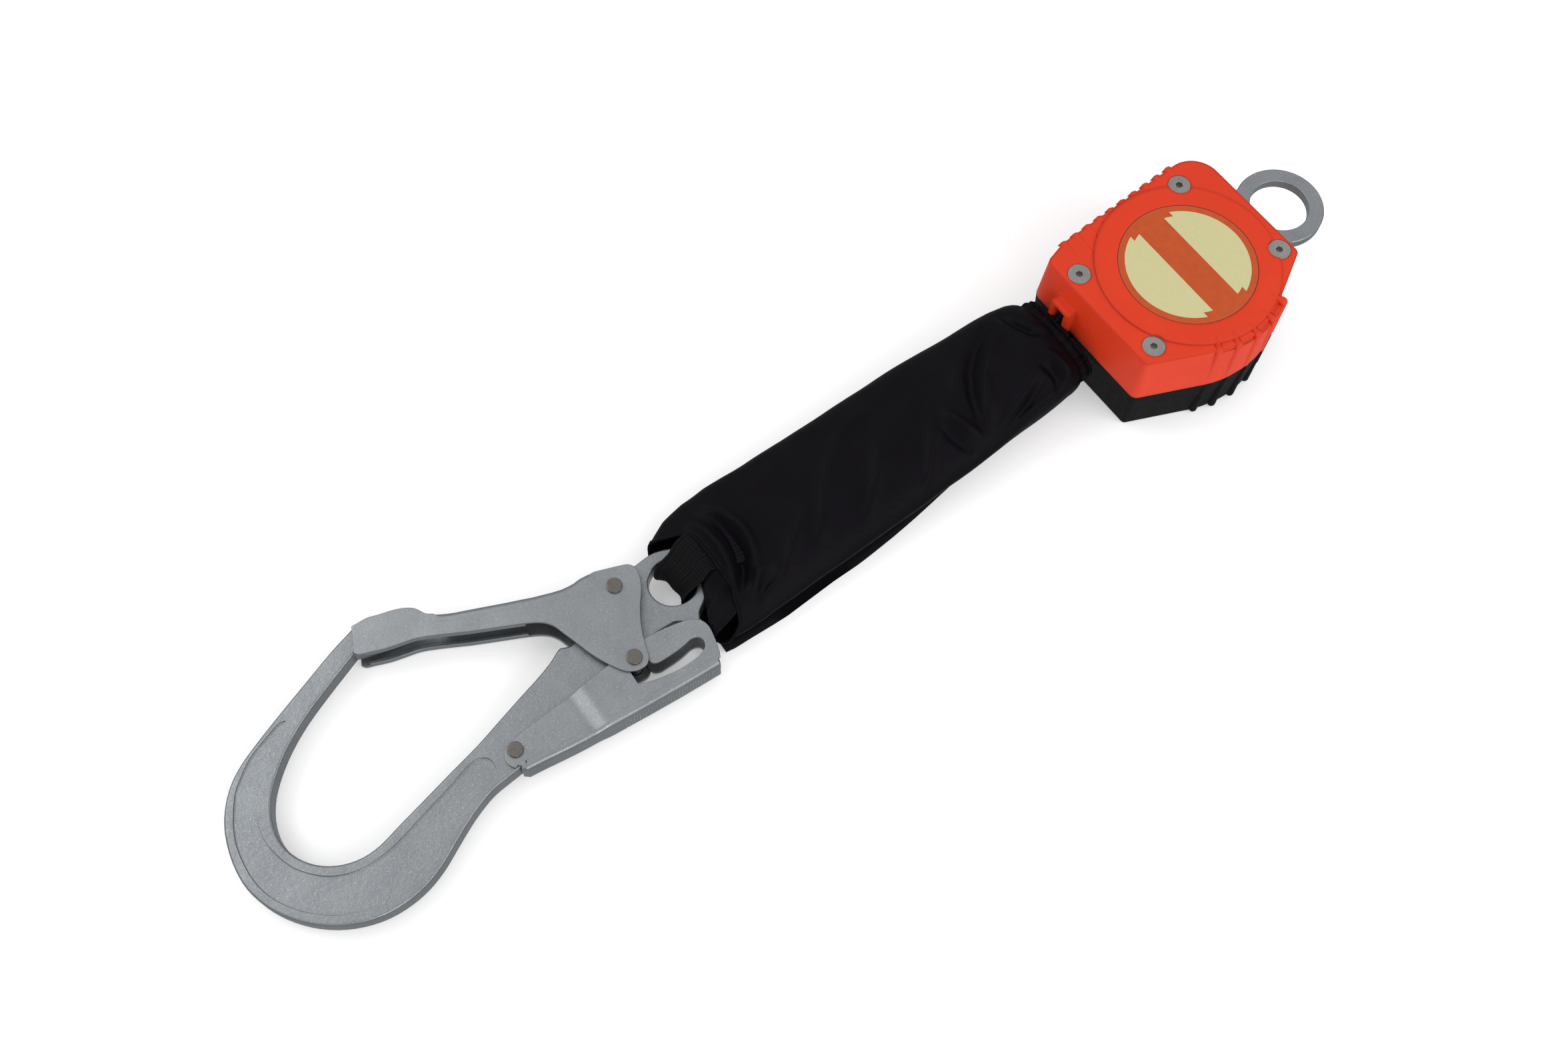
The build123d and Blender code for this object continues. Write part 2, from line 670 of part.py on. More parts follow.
def webbing_loop():
    """Sewn loop through the hook's eye: two plies joined by a round turn inside the eye."""
    top, bottom = HOOK_Z + LOOP_R, HOOK_Z - LOOP_R
    side_plane = Plane((0, EYE_C[1] - LOOP_W / 2, 0), x_dir=(1, 0, 0), z_dir=(0, -1, 0))
    with BuildPart() as loop:
        with BuildSketch(side_plane):
            with BuildLine():
                Polyline((LOOP_X0, bottom), (LOOP_X1, bottom))
                ThreePointArc((LOOP_X1, bottom), (LOOP_X1 - LOOP_R, HOOK_Z), (LOOP_X1, top))
                Polyline((LOOP_X1, top), (LOOP_X0, top), (LOOP_X0, top + WEB_T),
                         (LOOP_X1, top + WEB_T))
                ThreePointArc((LOOP_X1, top + WEB_T), (LOOP_X1 - LOOP_R - WEB_T, HOOK_Z),
                              (LOOP_X1, bottom - WEB_T))
                Polyline((LOOP_X1, bottom - WEB_T), (LOOP_X0, bottom - WEB_T),
                         (LOOP_X0, bottom))
            make_face()
        extrude(amount=-LOOP_W)
    return loop.part


# ---------------------------------------------------------------- hook body
BODY_H = 4.6                    # half thickness of the forged body
PIN_A_R, PIN_R = 3.0, 2.5       # gate rivet; slot pin and lever rivet
EYE_HOLE_R, EYE_RING_R = 11.0, 16.6
RING_A0, RING_A1 = -58.0, 62.0  # ends of the eye ring's outer arc, degrees
# outer edge from the nose round the bend to the shank: x, y
OUTER_EDGE = [
    (-472.1, 77.0), (-485.3, 73.0), (-500.7, 67.2), (-516.6, 61.2), (-532.9, 54.6),
    (-541.4, 50.6), (-548.4, 46.0), (-554.6, 39.6), (-559.6, 31.8), (-563.0, 22.4),
    (-564.8, 12.3), (-564.7, 2.6), (-562.3, -6.8), (-558.1, -15.4), (-551.6, -24.0),
    (-543.4, -31.2), (-534.0, -36.4), (-524.0, -39.4), (-514.0, -40.0), (-504.9, -38.8),
    (-496.0, -35.8), (-488.0, -31.8), (-480.0, -27.6), (-471.5, -23.7), (-462.0, -20.6),
    (-453.0, -19.6), (-445.0, -18.8)]
# -Y edge of the shank, going on from the outer edge: x, y
SHANK_EDGE = [(-432.0, -16.4), (-418.0, -13.4), (-404.0, -9.6), (-394.0, -5.4)]
# from the shank to the eye ring: x, y
EYE_FOOT = [(-385.0, -2.3), (-357.6, -2.3), (-354.4, -4.6), (-352.6, -9.0), (-350.6, -10.4),
            (-348.6, -10.0), (-347.2, -7.4), (-345.0, -4.2)]
# from the eye ring over the gate pivot to the inner side of the shank: x, y
PIVOT_HUMP = [(-345.6, 30.4), (-351.0, 30.6), (-357.4, 30.2), (-364.0, 32.0), (-370.0, 33.2),
              (-376.4, 31.6), (-381.6, 27.0), (-386.6, 21.6), (-392.6, 17.2), (-399.2, 14.8)]
HUMP_END = [(-401.4, 15.2), (-404.6, 16.6), (-406.8, 15.8)]
# inner edge from the nose round the bend to the shank: x, y
INNER_EDGE = [
    (-478.2, 66.2), (-497.0, 58.6), (-510.0, 52.8), (-521.3, 46.2), (-530.2, 39.2),
    (-537.2, 31.8), (-541.8, 23.8), (-544.0, 15.4), (-543.6, 7.6), (-540.4, -0.4),
    (-535.0, -6.8), (-528.0, -11.2), (-520.0, -13.4), (-512.0, -13.2), (-500.5, -10.4),
    (-485.8, -6.9), (-471.3, -3.4), (-456.7, 0.0), (-443.1, 4.0), (-430.0, 7.8),
    (-418.0, 11.2), (-410.6, 13.9)]
# nose that lies between the gate's cheeks: x, y
NOSE = [(-470.0, 63.4), (-460.0, 62.2), (-452.4, 61.8), (-450.0, 64.4), (-450.6, 67.4),
        (-455.0, 70.6), (-462.0, 73.2), (-467.0, 74.6)]
# shallow recess in both faces of the bend: x, y
RECESS = [
    (-460.6, -4.9), (-474.3, -8.3), (-489.0, -12.1), (-503.5, -15.9), (-512.4, -17.4),
    (-520.5, -17.5), (-527.6, -15.9), (-534.9, -12.2), (-539.9, -7.6), (-545.0, -0.6),
    (-548.0, 8.3), (-549.0, 16.0), (-547.2, 25.8), (-541.8, 35.0), (-534.5, 43.1),
    (-521.1, 52.9), (-516.8, 56.6), (-519.8, 57.2), (-528.4, 54.3), (-536.6, 51.1),
    (-543.7, 46.1), (-549.3, 41.1), (-553.7, 34.5), (-557.2, 28.1), (-559.6, 21.1),
    (-560.9, 12.2), (-560.9, 3.6), (-558.8, -5.4), (-554.6, -13.6), (-548.4, -21.4),
    (-540.6, -28.0), (-531.8, -32.6), (-522.6, -35.2), (-513.6, -35.8), (-505.2, -34.6),
    (-496.6, -31.6), (-488.0, -27.4), (-479.2, -23.0), (-470.6, -19.6), (-463.6, -18.2),
    (-458.2, -16.6), (-455.4, -12.6), (-455.8, -7.8)]
RECESS_DEPTH = 0.9


def hook_outline():
    """Closed outline of the hook body."""
    ring_start = polar(EYE_C, EYE_RING_R, RING_A0)
    ring_end = polar(EYE_C, EYE_RING_R, RING_A1)
    Spline(*OUTER_EDGE)
    Spline(OUTER_EDGE[-1], *SHANK_EDGE)
    Polyline(SHANK_EDGE[-1], *EYE_FOOT, ring_start)
    ThreePointArc(ring_start, polar(EYE_C, EYE_RING_R, 0), ring_end)
    Spline(ring_end, *PIVOT_HUMP)
    Polyline(PIVOT_HUMP[-1], *HUMP_END, INNER_EDGE[-1])
    Spline(*INNER_EDGE[::-1])
    Polyline(INNER_EDGE[0], *NOSE, OUTER_EDGE[0])


def hook_body():
    """Forged hook body with the webbing eye at its +X end."""
    with BuildPart() as body:
        with BuildSketch(Plane.XY.offset(HOOK_Z - BODY_H)):
            with BuildLine():
                hook_outline()
            make_face()
            with Locations(EYE_C):
                Circle(EYE_HOLE_R, mode=Mode.SUBTRACT)
            with Locations(PIV_A):
                Circle(PIN_A_R + 0.02, mode=Mode.SUBTRACT)
            with Locations(PIV_C):
                Circle(PIN_R + 0.02, mode=Mode.SUBTRACT)
        extrude(amount=2 * BODY_H)
        # long edges of both faces, with the largest chamfer that the kernel can build
        rims = body.edges().filter_by(
            lambda edge: abs(abs(edge.center().Z - HOOK_Z) - BODY_H) < 0.01 and edge.length > 30)
        for size in (1.3, 0.9, 0.6):
            if soften(chamfer, rims, size):
                break
        for side in SIDES:
            with BuildSketch(Plane.XY.offset(HOOK_Z + side * BODY_H)):
                with BuildLine():
                    Polyline(*RECESS, close=True)
                make_face()
            extrude(amount=-side * RECESS_DEPTH, mode=Mode.SUBTRACT)
    return body.part


# ---------------------------------------------------------------- gate
GATE_IN, GATE_OUT = 7.2, 8.7    # cheek faces from the hook's mid-plane
# gate outline: x, y
GATE = [
    (-473.0, 75.9), (-468.7, 75.8), (-465.1, 75.5), (-461.0, 74.1), (-454.2, 72.1),
    (-450.2, 70.3), (-447.8, 68.7), (-446.3, 67.3), (-445.0, 65.0), (-443.8, 62.6),
    (-441.0, 60.5), (-436.6, 57.8), (-428.1, 53.9), (-412.1, 46.8), (-401.3, 42.2),
    (-393.6, 39.4), (-389.7, 38.2), (-383.7, 37.5), (-380.4, 37.8), (-376.6, 37.5),
    (-371.5, 35.7), (-363.1, 32.5), (-359.4, 30.8), (-357.9, 28.8), (-357.6, 26.4),
    (-358.5, 22.5), (-360.8, 17.9), (-366.4, 10.5), (-370.1, 4.4), (-373.1, -2.1),
    (-375.0, -7.7), (-376.1, -10.7), (-378.2, -12.7), (-381.0, -13.3), (-384.4, -12.6),
    (-387.8, -10.4), (-390.2, -7.0), (-393.9, 0.3), (-396.4, 7.2), (-398.5, 14.8),
    (-400.0, 19.7), (-401.5, 24.7), (-403.8, 28.3), (-407.4, 31.3), (-413.1, 34.5),
    (-418.5, 37.2), (-433.7, 44.8), (-439.3, 47.9), (-449.0, 53.1), (-454.4, 55.5),
    (-459.5, 56.8), (-466.8, 58.8), (-473.6, 61.5), (-477.1, 62.9), (-478.2, 64.6)]
# bridge that joins the cheeks along the +Y edge
BRIDGE_X0, BRIDGE_X1 = -441.0, -374.6
# room between the cheeks, reaching past the gate except along the bridge: x, y
GATE_ROOM = [
    (-500, 95), (BRIDGE_X0, 95), (BRIDGE_X0, 58.8), (-437.3, 56.4), (-428.8, 52.5),
    (-412.8, 45.4), (-401.8, 40.7), (-394.0, 37.9), (-389.9, 36.7), (-383.7, 36.0),
    (-380.4, 36.2), (BRIDGE_X1, 35.4), (BRIDGE_X1, 95), (-330, 95), (-330, -50), (-500, -50)]


def gate():
    """Gate of two cheeks astride the hook body."""
    with BuildPart() as body:
        with BuildSketch(Plane.XY.offset(HOOK_Z - GATE_OUT)):
            with BuildLine():
                Polyline(*GATE, close=True)
            make_face()
            with Locations(PIV_A):
                Circle(PIN_A_R + 0.06, mode=Mode.SUBTRACT)
            with Locations(PIV_B):
                Circle(PIN_R + 0.02, mode=Mode.SUBTRACT)
        extrude(amount=2 * GATE_OUT)
        with BuildSketch(Plane.XY.offset(HOOK_Z - GATE_IN)):
            with BuildLine():
                Polyline(*GATE_ROOM, close=True)
            make_face()
        extrude(amount=2 * GATE_IN, mode=Mode.SUBTRACT)
    return body.part


def rivet(place, radius, reach, head_r, head_t=1.15):
    """Rivet with a rounded head at each end, reach being half the length it clamps."""
    with BuildPart() as body:
        with BuildSketch(Plane.XY.offset(HOOK_Z - reach)):
            with Locations(place):
                Circle(radius)
        extrude(amount=2 * reach)
        for side in SIDES:
            with BuildSketch(Plane.XY.offset(HOOK_Z + side * (reach + 0.02))):
                with Locations(place):
                    Circle(head_r)
            extrude(amount=side * (head_t - 0.02))
            # short plug that joins the head to the shank
            with BuildSketch(Plane.XY.offset(HOOK_Z + side * (reach - 0.01))):
                with Locations(place):
                    Circle(radius)
            extrude(amount=side * 0.1)
        rim = body.edges().filter_by(GeomType.CIRCLE).filter_by(
            lambda edge: abs(edge.radius - head_r) < 0.01
            and abs(abs(edge.center().Z - HOOK_Z) - reach - head_t) < 0.05)
        soften(fillet, rim, 0.35)
    return body.part


# ---------------------------------------------------------------- lever
# faces from the hook's mid-plane, at the pivot end (-X) and at the slot end (+X)
PIVOT_IN, PIVOT_OUT = 4.8, 6.2
SLOT_IN, SLOT_OUT = 5.6, 7.0
JOGGLE_X0, JOGGLE_X1 = -412.0, -407.6
GATE_OPEN, LEVER_SQUEEZE = 38.0, 8.0  # full travel, degrees
# lever outline: x, y
LEVER = [
    (-448.5, -9.2), (-450.2, -11.6), (-450.8, -14.3), (-449.9, -17.2), (-446.6, -20.8),
    (-445.4, -22.1), (-438.3, -23.0), (-424.9, -25.0), (-412.8, -26.3), (-399.5, -27.6),
    (-388.6, -28.6), (-373.4, -29.8), (-352.8, -31.0), (-350.0, -26.8), (-348.6, -22.6),
    (-347.4, -18.0), (-346.7, -14.0), (-347.1, -11.1), (-348.2, -8.9), (-350.4, -7.0),
    (-353.7, -5.4), (-362.1, -3.4), (-373.0, -2.0), (-392.9, -3.2), (-403.7, -4.2),
    (-413.2, -5.2), (-424.5, -5.7), (-435.0, -6.4), (-444.0, -7.6)]
# room between the lever's cheeks, ending at the spine on the -Y side: x, y
LEVER_ROOM = [
    (-470, 20), (-470, -20.2), (-447.5, -20.2), (-444.6, -20.7), (-438.2, -21.6),
    (-424.8, -23.6), (-412.7, -24.9), (-399.4, -26.2), (-388.5, -27.2), (-373.3, -28.4),
    (-340, -30.4), (-340, 20)]
# opening in the cheeks, before the pin's path is added: x, y
SLOT = [
    (-385.6, -5.2), (-384.6, -3.4), (-381.4, -2.9), (-378.2, -3.6), (-377.0, -6.6),
    (-376.6, -13.0), (-374.2, -14.6), (-369.7, -14.9), (-364.8, -14.9), (-360.6, -14.5),
    (-357.1, -14.0), (-354.9, -14.3), (-353.2, -15.3), (-352.4, -17.7), (-353.1, -19.9),
    (-354.4, -21.1), (-357.1, -22.2), (-362.3, -22.7), (-368.6, -22.6), (-375.7, -21.3),
    (-381.0, -20.0), (-386.5, -17.7)]


def slot_path(t):
    """Where the gate's pin stands in the lever's own frame, t from 0 closed to 1 open."""
    return turned(turned(PIV_B, PIV_A, GATE_OPEN * t), PIV_C, -LEVER_SQUEEZE * t)


def lever_room():
    """Space between the lever's cheeks, following the joggle."""
    with BuildPart() as room:
        with BuildSketch(Plane.XZ.offset(60)):
            with BuildLine():
                Polyline((-470, HOOK_Z - PIVOT_IN), (-470, HOOK_Z + PIVOT_IN),
                         (JOGGLE_X0, HOOK_Z + PIVOT_IN), (JOGGLE_X1, HOOK_Z + SLOT_IN),
                         (-330, HOOK_Z + SLOT_IN), (-330, HOOK_Z - SLOT_IN),
                         (JOGGLE_X1, HOOK_Z - SLOT_IN), (JOGGLE_X0, HOOK_Z - PIVOT_IN),
                         close=True)
            make_face()
        extrude(amount=-120)
        with BuildSketch(Plane.XY.offset(HOOK_Z - 20)):
            with BuildLine():
                Polyline(*LEVER_ROOM, close=True)
            make_face()
        extrude(amount=40, mode=Mode.INTERSECT)
    return room.part


def lever():
    """Folded lever of two cheeks and a spine along the -Y edge."""
    with BuildPart() as body:
        with BuildSketch(Plane.XY.offset(HOOK_Z - SLOT_OUT)):
            with BuildLine():
                Polyline(*LEVER, close=True)
            make_face()
        extrude(amount=2 * SLOT_OUT)
        # the end by the pivot is pressed in, with a joggle
        for side in SIDES:
            with BuildSketch(Plane.XZ.offset(60)):
                with BuildLine():
                    Polyline((-470, HOOK_Z + side * PIVOT_OUT),
                             (JOGGLE_X0, HOOK_Z + side * PIVOT_OUT),
                             (JOGGLE_X1, HOOK_Z + side * SLOT_OUT),
                             (JOGGLE_X1, HOOK_Z + side * 12), (-470, HOOK_Z + side * 12),
                             close=True)
                make_face()
            extrude(amount=-120, mode=Mode.SUBTRACT)
        add(lever_room(), mode=Mode.SUBTRACT)
        # slot with the path of the gate's pin, and the pivot hole
        with BuildSketch(Plane.XY.offset(HOOK_Z - 10)):
            with BuildLine():
                Polyline(*SLOT, close=True)
            make_face()
            with Locations(*[slot_path(k / 12) for k in range(13)]):
                Circle(PIN_R + 0.4)
            with Locations(PIV_C):
                Circle(PIN_R + 0.06)
        extrude(amount=20, mode=Mode.SUBTRACT)
    return body.part


# ---------------------------------------------------------------- hook springs
# straight leg of the gate spring, from the pivot: x, y
GATE_SPRING_LEG = [(0.0, 4.1), (-8.0, 8.8), (-8.4, 8.1), (-1.4, 4.0)]


def gate_spring():
    """Flat ring with one leg round the gate rivet, on the -Z side of the hook body."""
    with BuildPart() as spring:
        with BuildSketch(Plane.XY.offset(HOOK_Z - 6.9)):
            with Locations(PIV_A):
                Circle(5.0)
                Circle(4.0, mode=Mode.SUBTRACT)
            with BuildLine():
                Polyline(*[(PIV_A[0] + x, PIV_A[1] + y) for x, y in GATE_SPRING_LEG],
                         close=True)
            make_face()
        extrude(amount=2.1)
    return spring.part


def lever_spring():
    """Compression coil between the hook's -Y edge and the lever's spine."""
    with BuildPart() as spring:
        with BuildLine() as coil:
            Helix(pitch=1.75, height=8.6, radius=2.3, center=(-416.0, -15.0, HOOK_Z),
                  direction=(0, -1, 0))
        with BuildSketch(Plane(coil.line @ 0, z_dir=coil.line % 0)):
            Circle(0.42)
        sweep()
    return spring.part


# ---------------------------------------------------------------- pieces
PIECES = {
    "front_shell": shell(1),
    "rear_shell": shell(-1),
    "front_label": drum_disc(z=HALF_T - 0.55, height=0.45, radius=LABEL_R),
    "housing_screws": housing_screws(),
    "threaded_inserts": threaded_inserts(),
    "anchor_plate": anchor_plate(),
    "frame_plate_front": frame_plate(FRAME_IN),
    "frame_plate_rear": frame_plate(-FRAME_OUT),
    "anchor_pins": anchor_pins(),
    "guide_pins": guide_pins(),
    "axle_bushes": axle_bushes(),
    "axle": axle(),
    "drum_hub": drum_disc(z=-HUB_HALF_W, height=2 * HUB_HALF_W, radius=HUB_R,
                          bore=AXLE_BORE_R),
    "drum_flange_front": drum_flange(1),
    "drum_flange_rear": drum_flange(-1),
    "webbing_coil": drum_disc(z=-WEB_W / 2, height=WEB_W, radius=COIL_R, bore=HUB_R + FIT),
    "webbing_lead": webbing_lead(),
    "ratchet_ring": ratchet_ring(),
    "ring_rivets": ring_rivets(),
    "pawl_disc": drum_disc(z=PAWL_DISC_Z, height=PAWL_DISC_T, radius=23.6, bore=AXLE_BORE_R),
    "pawl_a": pawl(PAWL_ANGLES[0]),
    "pawl_b": pawl(PAWL_ANGLES[1]),
    "pawl_pins": pawl_pins(),
    "pawl_springs": pawl_springs(),
    "axle_clip": axle_clip(),
    "spring_case": spring_case(),
    "recoil_spring": recoil_spring(),
    "sleeve": sleeve(),
    "neck_band": neck_band(),
    "absorber_pack": absorber_pack(),
    "webbing_tail": webbing_tail(),
    "webbing_loop": webbing_loop(),
    "hook_body": hook_body(),
    "gate": gate(),
    "gate_rivet": rivet(PIV_A, radius=PIN_A_R, reach=GATE_OUT, head_r=3.55),
    "slot_pin": rivet(PIV_B, radius=PIN_R, reach=GATE_OUT, head_r=3.55),
    "lever_rivet": rivet(PIV_C, radius=PIN_R, reach=PIVOT_OUT, head_r=3.5),
    "lever": lever(),
    "gate_spring": gate_spring(),
    "lever_spring": lever_spring(),
}
for name, part in PIECES.items():
    part.label = name
    export_step(part, f"parts/{name}.step")
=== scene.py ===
# A retractable line, lying flat on a floor. It runs along -X: the round drum housing near X -75,
# a webbing run, a cloth sleeve over folded webbing from X -133 to -347, and a snap hook that
# ends at X -565. +Z is up. Lengths are in mm; new_obj and plate turn them into metres.
import bmesh
import bpy
import math
import numpy as np
from math import atan2, cos, hypot, pi, radians, sin, sqrt
from mathutils import Matrix, Vector, noise


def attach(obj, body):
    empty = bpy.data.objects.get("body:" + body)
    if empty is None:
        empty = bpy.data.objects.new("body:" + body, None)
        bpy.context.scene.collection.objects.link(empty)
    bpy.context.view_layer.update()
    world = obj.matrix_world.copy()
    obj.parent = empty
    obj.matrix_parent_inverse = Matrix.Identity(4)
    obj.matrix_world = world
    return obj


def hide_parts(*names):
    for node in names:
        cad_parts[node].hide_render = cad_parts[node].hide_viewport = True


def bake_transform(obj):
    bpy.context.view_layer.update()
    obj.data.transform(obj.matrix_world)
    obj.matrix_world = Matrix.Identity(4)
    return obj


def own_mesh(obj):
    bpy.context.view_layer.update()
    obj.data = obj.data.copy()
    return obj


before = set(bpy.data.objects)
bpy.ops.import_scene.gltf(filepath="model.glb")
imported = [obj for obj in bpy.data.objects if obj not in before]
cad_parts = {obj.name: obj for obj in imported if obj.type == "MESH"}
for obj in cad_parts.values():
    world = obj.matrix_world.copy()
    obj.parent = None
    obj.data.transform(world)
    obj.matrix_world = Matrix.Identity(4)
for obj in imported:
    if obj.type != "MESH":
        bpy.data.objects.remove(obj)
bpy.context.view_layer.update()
MM = 0.001
HOOK_Z = -18.0                 # mid-plane of the hook
DRUM = (-74.9, -8.6)           # drum axis
GATE_PIVOT = (-370.0, 25.4)
SLOT_PIN = (-381.4, -7.3)
LEVER_PIVOT = (-444.9, -11.7)
EYE = (-347.3, 13.6)
FLOOR_Z = -28.1
scene = bpy.context.scene


# ---------------------------------------------------------------- shader graphs
class Graph:
    """Adds and links the shader nodes of one tree."""

    def __init__(self, tree):
        self.tree = tree
        tree.nodes.clear()

    def put(self, socket, value):
        """Set a socket to a number or colour, or link an output to it; None leaves it alone."""
        if value is None:
            return
        if isinstance(value, (int, float, tuple)):
            if isinstance(value, tuple) and len(value) == 3 and socket.type == 'RGBA':
                value = (*value, 1)
            socket.default_value = value
        else:
            self.tree.links.new(value, socket)

    def node(self, kind, inputs=None, **settings):
        """Add a node; inputs maps socket names or numbers to values or outputs."""
        node = self.tree.nodes.new('ShaderNode' + kind)
        for key, value in settings.items():
            setattr(node, key, value)
        for key, value in (inputs or {}).items():
            self.put(node.inputs[key], value)
        return node

    def remap(self, value, span=(0.3, 0.7), to=(0, 1)):
        """Map span to another range, clamped; the default span covers most of a noise."""
        return self.node('MapRange', dict(enumerate((value, *span, *to)))).outputs[0]

    def axes(self, vector):
        return self.node('SeparateXYZ', {0: vector}).outputs


class Material(Graph):
    """A Principled material whose textures follow object coordinates."""

    def __init__(self, name):
        self.material = bpy.data.materials.new(name)
        self.material.use_nodes = True
        super().__init__(self.material.node_tree)
        output = self.node('OutputMaterial')
        self.shader = self.node('BsdfPrincipled')
        self.put(output.inputs[0], self.shader.outputs[0])
        self.place = self.node('TexCoord').outputs['Object']

    def noise(self, scale, detail=4, rough=0.55, vector=None):
        return self.node('TexNoise', {'Vector': vector or self.place, 'Scale': scale,
                                      'Detail': detail, 'Roughness': rough}).outputs['Fac']

    def math(self, operation, first, second=0.0):
        return self.node('Math', {0: first, 1: second}, operation=operation).outputs[0]

    def blend(self, first, second, share):
        """Weighted sum of two values; share is the second one's weight."""
        return self.math('ADD', self.math('MULTIPLY', first, 1 - share),
                         self.math('MULTIPLY', second, share))

    def mix(self, factor, first, second):
        """Mix two colours; sockets 6 and 7 are the node's colour inputs."""
        return self.node('Mix', {0: factor, 6: first, 7: second}, data_type='RGBA').outputs[2]

    def bump(self, height, strength, depth, under=None):
        return self.node('Bump', {'Strength': strength, 'Distance': depth, 'Height': height,
                                  'Normal': under}).outputs[0]

    def bevel(self, radius):
        """Normal with softened edges, or None for a zero radius."""
        if radius == 0:
            return None
        return self.node('Bevel', {'Radius': radius}, samples=6).outputs[0]

    def finish(self, inputs):
        """Fill the shader's inputs and return the Blender material."""
        for key, value in inputs.items():
            self.put(self.shader.inputs[key], value)
        return self.material


def scaled(colour, gain, lift=0.0):
    return tuple(min(1.0, part * gain + lift) for part in colour)


# ---------------------------------------------------------------- materials
def plastic(name, dark, light, rough, grain, relief, specular=0.45, bevel=0.0):
    """Moulded plastic; grain is the fine noise scale, relief its depth."""
    m = Material(name)
    clouds = m.noise(scale=28, detail=3)
    fine = m.noise(scale=grain, detail=3, rough=0.6)
    medium = m.noise(scale=260, detail=3, rough=0.5)
    colour = m.mix(m.remap(clouds), dark, light)
    dust = m.remap(m.noise(scale=90, detail=6, rough=0.7), span=(0.62, 0.8), to=(0.0, 0.25))
    colour = m.mix(dust, colour, scaled(light, gain=1.06, lift=0.001))
    roughness = m.remap(m.blend(fine, medium, share=0.5), span=(0.35, 0.65),
                        to=(rough - 0.06, rough + 0.08))
    normal = m.bump(fine, strength=0.5, depth=relief, under=m.bevel(bevel))
    normal = m.bump(medium, strength=0.25, depth=relief * 3, under=normal)
    return m.finish({'Base Color': colour, 'Roughness': roughness, 'Normal': normal,
                     'Specular IOR Level': specular})


def metal(name, dark, light, rough, spangle=0.15, relief=0.00001, bevel=0.0, grain=1400):
    """Worn metal; spangle is the share of small crystal cells in its colour."""
    m = Material(name)
    clouds = m.noise(scale=60, detail=4, rough=0.6)
    fine = m.noise(scale=grain, detail=4, rough=0.7)
    cells = m.node('TexVoronoi', {'Vector': m.place, 'Scale': 2600}).outputs['Color']
    mottle = m.blend(clouds, m.axes(cells)[0], share=spangle)
    colour = m.mix(m.remap(mottle, span=(0.3, 0.75)), dark, light)
    stain = m.remap(m.noise(scale=28, detail=6, rough=0.75), span=(0.56, 0.8), to=(0.0, 0.22))
    colour = m.mix(stain, colour, scaled(dark, gain=0.80))
    # tiny spots painted much lighter than the metal: painted glints
    painted_glint = m.remap(m.noise(scale=1500, detail=2, rough=0.6), span=(0.63, 0.72), to=(0.0, 0.6))
    colour = m.mix(painted_glint, colour, scaled(light, gain=1.9))
    # scratches drawn out along X
    drawn_out = m.node('CombineXYZ', {0: m.math('MULTIPLY', m.axes(m.place)[0], 0.25),
                                      1: m.axes(m.place)[1], 2: m.axes(m.place)[2]}).outputs[0]
    scratches = m.noise(scale=240, detail=5, rough=0.8, vector=drawn_out)
    roughness = m.remap(m.blend(fine, scratches, share=0.4), to=(rough - 0.08, rough + 0.12))
    normal = m.bump(fine, strength=0.6, depth=relief, under=m.bevel(bevel))
    normal = m.bump(m.noise(scale=420, detail=4, rough=0.7), strength=0.5, depth=relief * 7,
                    under=normal)
    return m.finish({'Base Color': colour, 'Metallic': 0.86, 'Roughness': roughness,
                     'Normal': normal})


def cloth(name, dark, light, pitch, rough):
    """Plain weave made of two crossed sine waves."""
    m = Material(name)
    x, y, z = m.axes(m.place)
    turn = 2 * pi / pitch
    warp = m.math('SINE', m.math('MULTIPLY', x, turn))
    weft = m.math('SINE', m.math('MULTIPLY', m.math('ADD', y, z), turn))
    weave = m.math('MULTIPLY', warp, weft)
    soft = m.noise(scale=55, detail=4, rough=0.6)
    colour = m.mix(m.remap(soft), dark, light)
    # raised weave crossings painted lighter: a painted sheen on the threads
    colour = m.mix(m.remap(weave, span=(-1, 1), to=(0.0, 0.35)), colour,
                   scaled(light, gain=1.7, lift=0.001))
    roughness = m.remap(m.noise(scale=420, detail=3), to=(rough - 0.08, rough + 0.06))
    normal = m.bump(weave, strength=0.35, depth=0.00006)
    normal = m.bump(m.noise(scale=160, detail=4, rough=0.6), strength=0.35, depth=0.0004,
                    under=normal)
    return m.finish({'Base Color': colour, 'Roughness': roughness, 'Normal': normal,
                     'Specular IOR Level': 0.055, 'Sheen Weight': 0.003,
                     'Sheen Roughness': 0.4, 'Sheen Tint': (0.5, 0.48, 0.58)})


def webbing(name, dark, light, rib_pitch=0.0011, pick_pitch=0.0012):
    """Ribs along the length, crossed by picks. The UV map holds length and width."""
    m = Material(name)
    along, across, _ = m.axes(m.node('UVMap').outputs[0])
    ribs = m.math('SINE', m.math('MULTIPLY', across, 2 * pi / rib_pitch))
    picks = m.math('SINE', m.math('ADD', m.math('MULTIPLY', along, 2 * pi / pick_pitch),
                                  m.math('MULTIPLY', ribs, 1.4)))
    height = m.blend(ribs, picks, share=0.3)
    soft = m.noise(scale=120, detail=4, rough=0.6)
    colour = m.mix(m.remap(soft), dark, light)
    # raised rib and pick crests painted lighter: a painted highlight on the threads
    colour = m.mix(m.remap(height, span=(-1, 1), to=(0, 0.6)), colour,
                   scaled(light, gain=2.4, lift=0.003))
    normal = m.bump(height, strength=0.8, depth=0.00018)
    normal = m.bump(m.noise(scale=1500, detail=3), strength=0.3, depth=0.00005, under=normal)
    return m.finish({'Base Color': colour, 'Roughness': m.remap(soft, to=(0.74, 0.86)),
                     'Normal': normal, 'Specular IOR Level': 0.10, 'Sheen Weight': 0.006,
                     'Sheen Roughness': 0.5})


